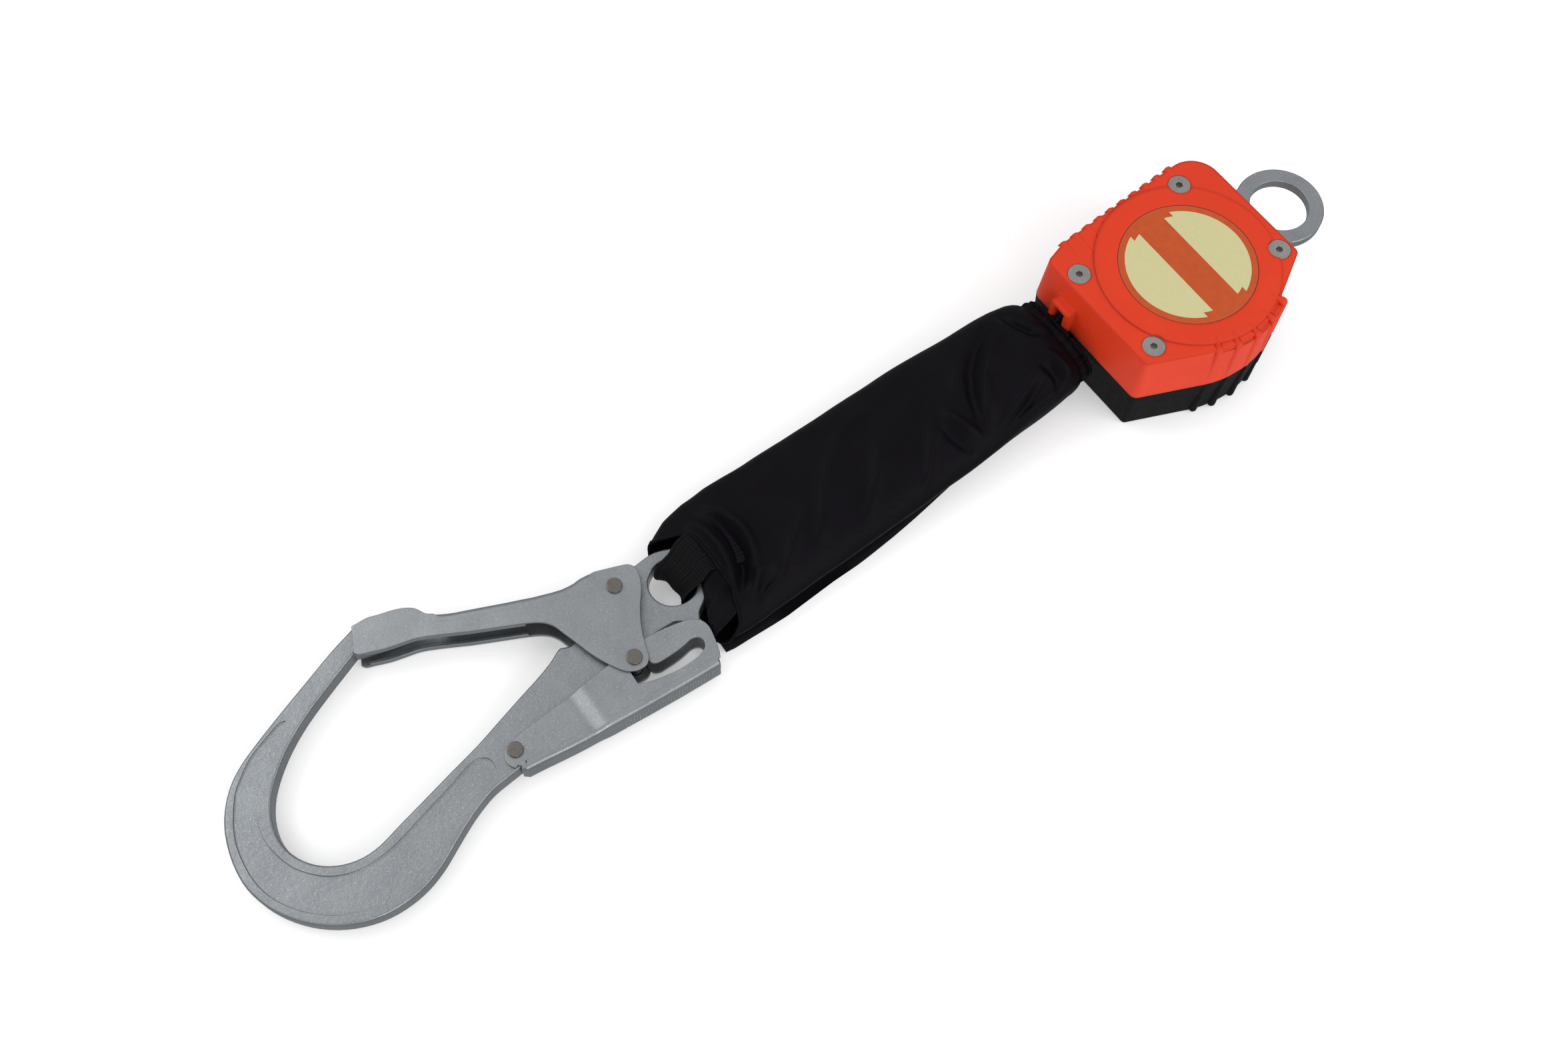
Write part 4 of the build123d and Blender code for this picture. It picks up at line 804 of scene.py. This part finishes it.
def soft_rib(start, along, run, radii, crowns, steps=26, across_steps=12):
    """A low rounded rib; radii and crown heights go from start to end, both ends sink in."""
    across = (-along[1], along[0])
    verts, faces = [], []
    for i in range(steps + 1):
        t = i / steps
        x, y = start[0] + along[0] * run * t, start[1] + along[1] * run * t
        radius = radii[0] + (radii[1] - radii[0]) * t
        crown = crowns[0] + (crowns[1] - crowns[0]) * t
        near, far = min(1.0, t * run / 1.6), min(1.0, (1 - t) * run / 3.0)
        crown -= (1.5 * (1 - sqrt(max(0.0, 1 - (1 - near) ** 2)))
                  + 0.9 * (1 - sqrt(max(0.0, 1 - (1 - far) ** 2))))
        for k in range(across_steps + 1):
            q = -1 + 2 * k / across_steps
            verts.append((x + across[0] * radius * q, y + across[1] * radius * q,
                          crown - 1.1 * (1 - (0.5 + 0.5 * cos(pi * q)))))
    width = across_steps + 1
    for i in range(steps):
        for k in range(across_steps):
            a = i * width + k
            faces.append((a, a + 1, a + width + 1, a + width))
    # skirts below both long edges, closed underneath and at the ends
    skirt = len(verts)
    for i in range(steps + 1):
        for k in (0, across_steps):
            x, y, z = verts[i * width + k]
            verts.append((x, y, z - 1.2))
    for i in range(steps):
        a, s = i * width, skirt + 2 * i
        faces.append((a, a + width, s + 2, s))
        faces.append((a + across_steps, s + 1, s + 3, a + 2 * across_steps + 1))
        faces.append((s, s + 2, s + 3, s + 1))
    for i in (0, steps):
        faces.append(tuple([i * width + k for k in range(width)]
                           + [skirt + 2 * i + 1, skirt + 2 * i]))
    return verts, faces


def face_rib_run(start, along):
    """Length of a face rib before it meets the drum's circle or a screw."""
    run = 0
    while run < 15:
        x, y = start + along * (run + 0.25)
        if (hypot(x - DRUM[0], y - DRUM[1]) < 42.6
                or min(hypot(x - a, y - b) for a, b in SCREWS) < 7.2):
            break
        run += 0.25
    return max(run, 3.0)


front_ribs, rear_ribs = ([], []), ([], [])
for i in range(10):
    t = i / 9
    along = np.array([-0.06 + 0.02 * i, -1.0])
    along = along / np.linalg.norm(along)
    start = np.array([-113.5 + t * 66.5, 34.6 + t * 3.7]) - along * 0.1
    add_part(front_ribs, soft_rib(start, along, face_rib_run(start, along),
                                  radii=(2.15, 2.4), crowns=(28.0, 27.35)))
# ribs at the round -Y side: over the top rim, then down the wall of both shells
for angle in GRIP_ANGLES:
    c, s = cos(radians(angle)), sin(radians(angle))
    add_part(front_ribs, soft_rib((DRUM[0] + 47.0 * c, DRUM[1] + 47.0 * s), (-c, -s), 8.0,
                                  radii=(2.0, 1.5), crowns=(27.9, 28.45)))
# shell, then Z and distance from the drum axis at both ends of a rod
WALL_RODS = [(front_ribs, (1.9, 46.3), (25.9, 45.9)), (rear_ribs, (-25.6, 46.5), (-1.9, 46.3))]
for angle in GRIP_ANGLES:
    c, s = cos(radians(angle)), sin(radians(angle))
    for shell, *ends in WALL_RODS:
        low, high = [(DRUM[0] + r * c, DRUM[1] + r * s, z) for z, r in ends]
        add_part(shell, capsule(low, high, 2.0))
rear_rib_obj = new_obj('rear_grip_ribs', *rear_ribs, BLACK, 50)
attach(rear_rib_obj, 'housing')
front_rib_obj = new_obj('face_ribs', *front_ribs, ORANGE, 50)
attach(front_rib_obj, 'housing')


# ---------------------------------------------------------------- webbing
def strap(name, path, width, ribs, curl=None, relief=0.34, thick=1.5):
    """Woven strap with raised ribs along its length.

    path lists (centre, across vector, width scale); curl(t, y) lifts the section at t along
    the strap and y across it, -0.5 to 0.5.
    """
    count = len(path)
    centres, across, widths = (np.array([p[k] for p in path], float) for k in range(3))
    along = np.gradient(centres, axis=0)
    along /= np.linalg.norm(along, axis=1)[:, None]
    across = across - along * (across * along).sum(1)[:, None]
    across /= np.linalg.norm(across, axis=1)[:, None]
    up = np.cross(along, across)
    steps = ribs * 4
    profile = []
    for k in range(steps + 1):
        y = k / steps - 0.5
        height = 0.5 * thick - 0.12 + relief * abs(sin(pi * ribs * (k / steps)))
        edge = min(1.0, (0.5 - abs(y)) * width / (0.8 * thick))
        height *= sqrt(max(0.0, 1 - (1 - edge) ** 2)) * 0.98 + 0.02
        profile.append((y, height))
    ring = profile + [(y, -h) for y, h in profile[::-1]]
    sides = len(ring)
    verts, uvs = [], []
    lengths = np.concatenate([[0], np.cumsum(np.linalg.norm(np.diff(centres, axis=0), axis=1))])
    for i in range(count):
        for y, h in ring:
            lift = curl(i / (count - 1), y) if curl else 0.0
            verts.append(centres[i] + across[i] * (y * width * widths[i]) + up[i] * (h + lift))
            uvs.append((lengths[i] * MM, y * width * MM))
    faces = loft(count, sides)
    faces.append(tuple(range(sides - 1, -1, -1)))
    faces.append(tuple((count - 1) * sides + k for k in range(sides)))
    obj = new_obj(name, verts, faces, WEBBING, 60)
    uv_map = obj.data.uv_layers.new(name='UVMap')
    for corner in obj.data.loops:
        uv_map.data[corner.index].uv = uvs[corner.vertex_index]
    return obj


# from the housing into the sleeve, turning a quarter
RUN_START, RUN_END = -126.0, -174.0


def run_path():
    path = []
    for i in range(201):
        x = RUN_START + (RUN_END - RUN_START) * (i / 200)
        turn = ramp(x, -131.0, 39.0)
        angle = radians(90 - 90 * turn)
        sink = min(max((-x - 131.3) / 40.4, 0), 1)
        drop = -3.4 * ramp(x, -125.0, 7.0) * (1 - sink)
        narrow = 1.0 - 0.34 * ramp(x, -122.0, 7.0) * (1 - ramp(x, -150.0, 20.0))
        path.append(((x, 11.8 - 1.4 * turn, -7.3 * sink ** 1.15 + drop),
                     (0, cos(angle), sin(angle)), narrow))
    return path


def run_curl(t, y):
    x = RUN_START + (RUN_END - RUN_START) * t
    amount = ramp(x, -130.6, 7.0) * (1 - ramp(x, -150.0, 20.0))
    return -3.4 * amount * (abs(y) * 2) ** 2


run = strap('webbing_run', run_path(), width=24.0, ribs=20, curl=run_curl)
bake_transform(run)
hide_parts('webbing_tail')


def loop_path(x_sewn=-302.0, x_eye=-339.6, half_gap=6.7, steps=44):
    """Out along the top, round through the hook's eye and back underneath."""
    path = []
    for i in range(steps):
        f = i / steps
        lean = ease((f - 0.35) / 0.65)
        path.append(((x_sewn + (x_eye - x_sewn) * f,
                      12.0 + 5.6 * ease(f / 0.8) - 2.6 * ease((f - 0.8) / 0.2),
                      HOOK_Z + half_gap + 1.4 * sin(pi * f)),
                     (-0.22 * lean, 1, 0.10 * lean), 1.0 - 0.20 * lean))
    for i in range(29):
        a = pi * i / 28
        path.append(((x_eye - 7.2 * sin(a), 14.6 - 1.0 * sin(a / 2),
                      HOOK_Z + half_gap * cos(a)),
                     (-0.22 * cos(a / 2), 1, 0.10 * cos(a)), 0.80 - 0.06 * sin(a)))
    for i in range(1, steps + 1):
        f = i / steps
        path.append(((x_eye + (x_sewn - x_eye) * f, 13.6 - 1.6 * f, HOOK_Z - half_gap),
                     (0, 1, 0), 0.80 + 0.16 * f))
    return path


def loop_curl(t, y):
    amount = ease(1.0 - abs(t - 0.47) / 0.30)
    return -(3.0 * amount) * (abs(y) * 2) ** 2.4 + 0.45 * amount * sin(11 * y + 10 * t)


loop = strap('webbing_eye_loop', loop_path(), width=25.0, ribs=14, curl=loop_curl, relief=0.52)
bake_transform(loop)
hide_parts('webbing_loop')


def pack_path(layers=5, pitch=2.5):
    """Webbing folded back and forth in a stack that slopes down towards -X."""
    x0, x1, z0, z1, y = -174.0, -304.0, -7.4, -17.2, 10.4
    path = []
    for j in range(layers):
        z_layer = (j - (layers - 1) / 2) * pitch
        for i in range(41):
            f = i / 40 if j % 2 == 0 else 1 - i / 40
            path.append(((x0 + (x1 - x0) * f, y + 0.3 * sin(j * 2.1),
                          z0 + (z1 - z0) * f + z_layer + 0.25 * sin(5 * f + j)), (0, 1, 0), 1.0))
        if j < layers - 1:
            direction, x_end, z_end = (-1, x1, z1) if j % 2 == 0 else (1, x0, z0)
            for k in range(1, 8):
                a = pi * k / 8
                path.append(((x_end + direction * pitch / 2 * sin(a), y,
                              z_end + z_layer + pitch / 2 * (1 - cos(a))), (0, 1, 0), 1.0))
    return path


pack = strap('tear_webbing', pack_path(), width=43.0, ribs=34)
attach(pack, 'line')
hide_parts('absorber_pack')

# ---------------------------------------------------------------- sleeve shape
# X, the +Y edge, the -Y edge, top and bottom
SLEEVE = np.array([
    (-132.6, 29.0, -15.8, 5.4, -12.4), (-135.0, 31.0, -17.2, 7.0, -13.9),
    (-137.4, 30.4, -16.8, 6.4, -13.5), (-139.0, 30.8, -16.8, 6.1, -13.6),
    (-143.0, 34.2, -18.4, 7.4, -15.4), (-148.0, 36.0, -18.9, 7.8, -17.0),
    (-155.0, 37.4, -19.2, 7.0, -18.6), (-163.0, 38.6, -19.6, 5.8, -20.0),
    (-180.0, 40.7, -20.4, 3.4, -22.6), (-200.0, 42.4, -20.8, 0.8, -24.6),
    (-230.0, 43.6, -21.6, -2.4, -26.4), (-262.0, 44.0, -22.2, -4.8, -27.2),
    (-290.0, 44.4, -22.4, -6.2, -27.5), (-310.0, 45.2, -23.0, -7.0, -27.5),
    (-322.0, 44.6, -23.4, -7.6, -27.5), (-334.0, 42.2, -23.2, -8.2, -27.5),
    (-341.0, 38.8, -22.6, -8.6, -27.4), (-347.0, 35.0, -21.8, -9.2, -27.1)])
NECK_X, OPEN_X = -132.6, -347.0
# how far the open end is cut back, by angle round the tube (0 is +Y, 90 is up)
CUT_ANGLES = np.radians([-90, -60, -30, 0, 30, 50, 68, 90, 110, 130, 150, 165, 180, 200, 225,
                         270])
CUT_BACK = np.array([0, 0, 0.5, 1.5, 4.5, 11, 17, 18.5, 18.5, 16, 12.5, 8.5, 5, 1.5, 0, 0])
# creases of the top panel: X, Y points, width, height
FOLDS = [
    ([(-151.8, 28.1), (-150.1, 20.3), (-146.8, 12.2), (-141.8, 9)], 1.7, -2.0),
    ([(-156, 28), (-154.5, 19), (-151, 10), (-145, 4.5)], 2.6, 1.3),
    ([(-148.7, 2.4), (-145.9, -3.9), (-144.6, -11), (-146.3, -16)], 2.0, 1.6),
    ([(-153.5, -1), (-151, -7), (-150.5, -12), (-154, -16.5)], 2.0, -1.9),
    ([(-152, -15.5), (-160, -16.5), (-169, -17.2), (-178, -17.5)], 1.8, 1.3),
    ([(-161.4, 26.9), (-172.7, 21.7), (-181.1, 14.6), (-186.7, 5.7), (-191.5, -5.7),
      (-193.8, -14)], 2.2, -1.8),
    ([(-157, 22), (-167, 16.5), (-175.5, 9.5), (-181, 1.5), (-185.5, -8)], 2.8, 1.6),
    ([(-168, 29), (-179, 24), (-187, 17), (-192, 8)], 3.0, 1.0),
    ([(-201.9, 6.3), (-200.3, -1), (-198.2, -8.1), (-194.8, -14)], 2.2, 1.9),
    ([(-207, 2), (-206.5, -5), (-204.5, -11), (-202, -16)], 2.4, -1.7),
    ([(-209.9, 4.3), (-216.7, -3.7), (-223.5, -11.3), (-230, -17.5)], 2.0, 1.2),
    ([(-152.8, -3.4), (-164.6, -8), (-176.2, -12.5), (-186.5, -15.5)], 2.4, 1.3),
    ([(-158, -9), (-168, -13), (-180, -16.5)], 1.7, -1.3),
    ([(-232, 14), (-246, -2), (-262, -15)], 2.6, 0.9),
    ([(-240, 30), (-262, 14), (-276, -2), (-288, -15)], 3.2, 0.9),
    ([(-214, 32), (-232, 27), (-252, 27)], 3.0, 0.7),
    ([(-268, 34), (-290, 29), (-306, 30)], 3.0, 0.8),
    ([(-280, 6), (-296, -6), (-306, -15)], 2.4, 1.1),
    ([(-316.4, 25.7), (-315.3, 14.9), (-316.4, 5.7), (-320.5, -2.7), (-326.5, -9)], 2.2, -2.9),
    ([(-318.5, 34), (-311.5, 25), (-308.8, 15.8), (-309.4, 7), (-312.4, -1), (-317, -8)],
     2.4, 2.0),
    ([(-326, 32), (-323, 24), (-322.3, 13), (-324, 3), (-329, -8)], 2.2, 1.9),
    ([(-309, -6), (-315, -7), (-321, -12)], 1.5, 1.8),
    ([(-307, -11), (-316, -12.5), (-322, -16)], 1.6, -1.4)]
RINGS, SIDES = ((156, 128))


def section(x):
    """Centre Y and Z, then half width and half height, at x."""
    right, left, top, bottom = (float(np.interp(-x, -SLEEVE[:, 0], SLEEVE[:, k]))
                                for k in (1, 2, 3, 4))
    return (right + left) / 2, (top + bottom) / 2, (right - left) / 2, (top - bottom) / 2


def sleeve_points(rings, sides, scale, far_x, cloth_detail, squareness=2.4):
    """Rings of points from the neck to far_x; detail adds the shaped end and neck ruffles."""
    verts = []
    for i in range(rings + 1):
        t = i / rings
        for j in range(sides):
            a = 2 * pi * j / sides
            end = far_x
            if cloth_detail:
                wrapped = a if a <= 1.5 * pi else a - 2 * pi
                end += float(np.interp(wrapped, CUT_ANGLES, CUT_BACK)) + 0.7 * sin(5 * a + 0.6)
            x = NECK_X + (end - NECK_X) * t
            y_mid, z_mid, half_width, half_height = section(x)
            c, s = cos(a), sin(a)
            y = half_width * math.copysign(abs(c) ** (2 / squareness), c)
            z = half_height * math.copysign(abs(s) ** (2 / squareness), s)
            # the side seam draws the cloth in below the top panel's edge
            seam = ramp(x, -168.0, 30.0)
            degrees = math.degrees(a)
            y += 3.4 * seam * math.exp(-((degrees - 204) / 15.0) ** 2)
            y -= 0.9 * seam * math.exp(-((degrees - 172) / 12.0) ** 2)
            if cloth_detail:
                gather = ease((x + 149.0) / 13.0)
                strength = 1.0 if x > -137.8 else 0.55
                ruffle = (0.62 * gather * strength * sin(21 * a + 1.1 * sin(3 * a))
                          + 0.34 * gather * sin(34 * a + 1.3))
                y += ruffle * c
                z += ruffle * s
            verts.append((x, y_mid + y * scale, z_mid + z * scale))
    return verts


def fold_lift(x, y):
    """Height of all creases at a point of the top panel."""
    height = 0.0
    for points, width, amount in FOLDS:
        nearest, place, count = 1e9, 0.0, len(points) - 1
        for k in range(count):
            ax, ay = points[k]
            dx, dy = points[k + 1][0] - ax, points[k + 1][1] - ay
            t = min(max(((x - ax) * dx + (y - ay) * dy) / (dx * dx + dy * dy), 0.0), 1.0)
            distance = hypot(x - ax - dx * t, y - ay - dy * t)
            if distance < nearest:
                nearest, place = distance, (k + t) / count
        if nearest < 3 * width:
            fade = 0.25 + 0.75 * sin(pi * min(max(place, 0.0), 1.0)) ** 0.7
            height += amount * fade * math.exp(-(nearest / width) ** 2)
    return height


# ---------------------------------------------------------------- sleeve cloth simulation
def mesh_points(obj):
    return np.array([v.co[:] for v in obj.data.vertices])


def collider(name, verts, faces):
    obj = new_obj(name, verts, faces, NYLON, 60)
    obj.modifiers.new('c', 'COLLISION')
    obj.collision.thickness_outer = 0.0006
    obj.collision.thickness_inner = 0.002
    obj.collision.cloth_friction = 8
    return obj


def pin_sleeve(obj):
    """Hold the neck fully and the open end partly."""
    group = obj.vertex_groups.new(name='pin')
    for i in range(RINGS + 1):
        x = NECK_X + (OPEN_X - NECK_X) * i / RINGS
        weight = 1.0 if x > -139.5 else 0.45 * (1 - ramp(x, -139.5, 12.0))
        weight = max(weight, 0.55 * ramp(x, -316.0, 22.0))
        if weight > 0:
            group.add([i * SIDES + j for j in range(SIDES)], weight, 'REPLACE')


def simulate(obj, frames=20):
    """Let the cloth settle, then keep its last shape."""
    modifier = obj.modifiers.new('cloth', 'CLOTH')
    cloth_values = dict(
        quality=5, mass=0.12, tension_stiffness=12, compression_stiffness=12,
        shear_stiffness=4, bending_stiffness=1.0, air_damping=3, tension_damping=8,
        compression_damping=8, shear_damping=8, bending_damping=0.5, vertex_group_mass='pin',
        pin_stiffness=1.0, shrink_min=-0.03, shrink_max=-0.03, use_pressure=True,
        uniform_pressure_force=0.6)
    for key, value in cloth_values.items():
        setattr(modifier.settings, key, value)
    modifier.collision_settings.distance_min = 0.001
    modifier.collision_settings.use_self_collision = False
    modifier.collision_settings.collision_quality = 2
    modifier.point_cache.frame_start = 1
    modifier.point_cache.frame_end = frames
    scene.use_gravity = True
    scene.gravity = (0, 0, -4.0)
    for number in range(1, frames + 1):
        scene.frame_set(number)
    apply_mods(obj)
    scene.frame_set(1)


def settled_points(rest, simulated):
    """Evened-out and limited movement of the cloth, with the creases added; in metres."""
    grid = (simulated - rest).reshape(RINGS + 1, SIDES, 3)
    for _ in range(3):
        grid = 0.5 * grid + 0.25 * (np.roll(grid, 1, 1) + np.roll(grid, -1, 1))
        grid[1:-1] = 0.5 * grid[1:-1] + 0.25 * (grid[:-2] + grid[2:])
    move = grid.reshape(-1, 3)
    size = np.linalg.norm(move, axis=1)
    points = rest + move * np.minimum(1.0, 0.006 / np.maximum(size, 1e-9))[:, None]
    for i in range(len(points)):
        x, y, z = points[i] * 1000
        y_mid, z_mid, _, half_height = section(x)
        if z > z_mid:
            k = min(1.0, (z - z_mid) / half_height * 1.5)
            lumps = noise.noise(Vector((x / 19, y / 13, 3.0)))
            points[i, 2] += (1.6 * fold_lift(x, y) * k + 0.8 * k * lumps) * MM
        wander = noise.noise(Vector((x / 24, 7.0, 0.0)))
        points[i, 1] += 0.9 * wander * MM * (1 if y > y_mid else -0.7) * ramp(x, -142, 10)
    points[:, 2] = np.maximum(points[:, 2], -0.0276)
    return points


sleeve = new_obj('sleeve_cloth', sleeve_points(RINGS, SIDES, 0.975, OPEN_X, True),
                 loft(RINGS + 1, SIDES), NYLON, 180)
rest_points = mesh_points(sleeve)
# the form keeps the sleeve full, the ground carries it
colliders = [
    collider('form', sleeve_points(60, 48, 0.92, -344.0, False), loft(61, 48, first=1)),
    collider('ground', [(-400, -100, -27.9), (-100, -100, -27.9), (-100, 100, -27.9),
                        (-400, 100, -27.9)], [(0, 1, 2, 3)])]
pin_sleeve(sleeve)
simulate(sleeve)
for obj in colliders:
    bpy.data.objects.remove(obj)
settled = settled_points(rest_points, mesh_points(sleeve))
for vert, point in zip(sleeve.data.vertices, settled):
    vert.co = point
subdivision = sleeve.modifiers.new('sub', 'SUBSURF')
subdivision.levels = subdivision.render_levels = 1
solid = sleeve.modifiers.new('sol', 'SOLIDIFY')
solid.thickness = 0.0006
solid.offset = -1
apply_mods(sleeve)
shade(sleeve, 80)
rows = settled.reshape(RINGS + 1, SIDES, 3) * 1000


# ---------------------------------------------------------------- sleeve trim
def seam_flap():
    """Flap that runs low along the -Y side."""
    column = int(round(SIDES * 228 / 360.0))
    line = rows[int(RINGS * 0.11):, column].copy()
    kernel = np.ones(9) / 9
    for axis in range(3):
        padded = np.concatenate([[line[0, axis]] * 4, line[:, axis], [line[-1, axis]] * 4])
        line[:, axis] = np.convolve(padded, kernel, 'valid')
    verts = []
    for i, (x, y, z) in enumerate(line):
        t = i / (len(line) - 1)
        edge = -float(np.interp(-x, [160, 180, 206, 250, 285, 312, 340, 350],
                                [18.6, 20.6, 21.2, 22.6, 22.8, 24.2, 23.4, 22.0]))
        width = 0.4 + max(0.0, y - edge - 0.4) * ease(t / 0.62)
        sag = -0.6 + 0.35 * sin(i * 0.11)
        # Y and Z offsets of the flap's section
        profile = [(1.2, 0.45), (-0.4, 0.5), (-width * 0.6, 0.5), (-width, 0.4),
                   (-width - 0.35, 0.0), (-width, -0.4), (-width * 0.6, -0.4), (-0.4, -0.5),
                   (1.2, -0.5), (1.4, 0.0)]
        for q, h in profile:
            verts.append((x, y + q, max(z + h + sag * max(0.0, -q / 3.2), -27.7)))
    sides = len(profile)
    return new_obj('flap', verts, loft(len(line), sides) + end_caps(len(line), sides), NYLON, 60)


def cord(name, points, radius, wobble, sides=8):
    """Closed cord of slightly uneven thickness along a ring of points."""
    along = np.roll(points, -1, 0) - np.roll(points, 1, 0)
    along /= np.linalg.norm(along, axis=1)[:, None]
    outward = points - points.mean(0)
    outward = outward - along * (outward * along).sum(1)[:, None]
    outward /= np.linalg.norm(outward, axis=1)[:, None]
    other = np.cross(along, outward)
    verts = []
    for i in range(len(points)):
        size = radius * (1 + wobble * sin(i * 1.7))
        for k in range(sides):
            a = 2 * pi * k / sides
            verts.append(points[i] + (outward[i] * cos(a) + other[i] * sin(a)) * size)
    return new_obj(name, verts, loft(len(points), sides, closed=True), NYLON, 60)


# X, Y edges of the lining folded back inside the open end
LINING_INNER = np.array([(-322, 30), (-322, 24), (-321.5, 15), (-322, 6), (-324, -2), (-327, -9),
                         (-330, -15)], float)
LINING_OUTER = np.array([(-329.5, 29.5), (-331, 25.5), (-333, 17), (-337.5, 6), (-341.5, -3.5),
                         (-345.5, -11.5), (-347, -18.5)])


def along_line(line, share):
    count = len(line) - 1
    k = min(int(share * count), count - 1)
    f = share * count - k
    return line[k] * (1 - f) + line[k + 1] * f


def lining_pleats(steps=60, across=26):
    verts, faces = [], []
    for side in (1, -1):
        for i in range(steps + 1):
            s = i / steps
            for k in range(across + 1):
                t = k / across
                x, y = along_line(LINING_INNER, s) * (1 - t) + along_line(LINING_OUTER, s) * t
                z = -10.4 - 1.1 * t - 1.6 * max(0.0, s - 0.75) * 4 * t
                z += (0.75 * sin(pi * min(1, t * 1.1)) * sin(15 * s + 5.0 * t) * (0.4 + 0.6 * t)
                      + 0.4 * sin(31 * s - 3 * t) * t)
                z -= 0.9 * ease((t - 0.86) / 0.14)
                verts.append((x, y, z + side * 0.35))
    width = across + 1
    under = (steps + 1) * width
    for i in range(steps):
        for k in range(across):
            a = i * width + k
            b = under + a
            faces.append((a, a + 1, a + width + 1, a + width))
            faces.append((b, b + width, b + width + 1, b + 1))
    rim = [i * width for i in range(steps + 1)]
    rim += [steps * width + k for k in range(1, width)]
    rim += [i * width + across for i in range(steps - 1, -1, -1)]
    rim += list(range(across - 1, 0, -1))
    for a, b in zip(rim, rim[1:] + rim[:1]):
        faces.append((a, under + a, under + b, b))
    return new_obj('pleats', verts, faces, NYLON, 60)


cover = join([sleeve, seam_flap(), cord('hem', rows[RINGS], radius=0.80, wobble=0.10),
              cord('casing', rows[0], radius=1.0, wobble=0.2), lining_pleats()],
             'sleeve_cover', 75)
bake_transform(cover)
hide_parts('sleeve', 'neck_band')


# ---------------------------------------------------------------- stage, light, camera
def floor_material():
    m = Material('floor')
    colour = m.mix(m.remap(m.noise(scale=3, detail=3)), (0.93, 0.93, 0.93), (0.95, 0.95, 0.95))
    return m.finish({'Base Color': colour, 'Roughness': 0.9, 'Specular IOR Level': 0.1,
                     'Emission Color': (1, 1, 1), 'Emission Strength': 0.26})


FLOOR_HALF = 40000
floor = new_obj('floor', [(x * FLOOR_HALF, y * FLOOR_HALF, FLOOR_Z)
                          for x, y in ((-1, -1), (1, -1), (1, 1), (-1, 1))],
                [(0, 1, 2, 3)], floor_material(), 35)
floor.visible_glossy = False


def build_world():
    """Soft grey sky, brighter overhead; the camera itself sees a plain near-white."""
    world = bpy.data.worlds.new('studio')
    scene.world = world
    world.use_nodes = True
    g = Graph(world.node_tree)
    height = g.axes(g.node('TexCoord').outputs['Generated'])[2]
    sky = g.node('ValToRGB', {0: g.remap(height, span=(-1.0, 1.0))})
    stops = sky.color_ramp.elements
    stops[0].position, stops[0].color = 0.0, (0.44, 0.45, 0.46, 1)
    stops[1].position, stops[1].color = 1.0, (0.80, 0.80, 0.80, 1)
    for position, grey in ((0.46, 0.38), (0.56, 0.40), (0.74, 0.70), (0.90, 0.84)):
        stops.new(position).color = (grey, grey, grey * 1.01, 1)
    light = g.node('Background', {0: sky.outputs[0], 1: 1.0})
    backdrop = g.node('Background', {0: (0.97, 0.97, 0.97), 1: 1.0})
    seen = g.node('LightPath').outputs['Is Camera Ray']
    mixed = g.node('MixShader', {0: seen, 1: light.outputs[0], 2: backdrop.outputs[0]})
    g.node('OutputWorld', {0: mixed.outputs[0]})


def area_light(name, location, target, size, power):
    light = bpy.data.lights.new(name, 'AREA')
    light.shape = 'RECTANGLE'
    light.size, light.size_y = size
    light.energy = power
    obj = link_obj(name, light)
    obj.location = location
    aim = Vector(target) - Vector(location)
    obj.rotation_euler = aim.to_track_quat('-Z', 'Y').to_euler()


def build_camera():
    data = bpy.data.cameras.new('cam')
    data.sensor_fit = 'HORIZONTAL'
    data.sensor_width = 36.0
    data.lens = 38.87755102
    data.clip_start, data.clip_end = 0.01, 50
    camera = link_obj('cam', data)
    right = (0.808867, -0.587770, 0.016163)
    up = (0.527770, 0.737867, 0.420725)
    back = (-0.259216, -0.331781, 0.907044)
    pose = Matrix((right, up, back)).transposed().to_4x4()
    pose.translation = (-0.487693, -0.244316, 0.677639)
    camera.matrix_world = pose
    scene.camera = camera


build_world()
area_light('key', (-0.9, 0.9, 1.2), target=(-0.3, 0, 0), size=(0.9, 0.9), power=5.0)
area_light('side', (-0.75, -1.15, 0.7), target=(-0.38, 0, 0), size=(0.35, 0.8), power=4.0)
area_light('fill', (0.35, -1.1, 0.85), target=(-0.25, 0, 0), size=(0.9, 0.9), power=5.5)
build_camera()
scene.view_settings.view_transform = 'Standard'
scene.view_settings.look = 'None'
scene.view_settings.exposure = 0.0
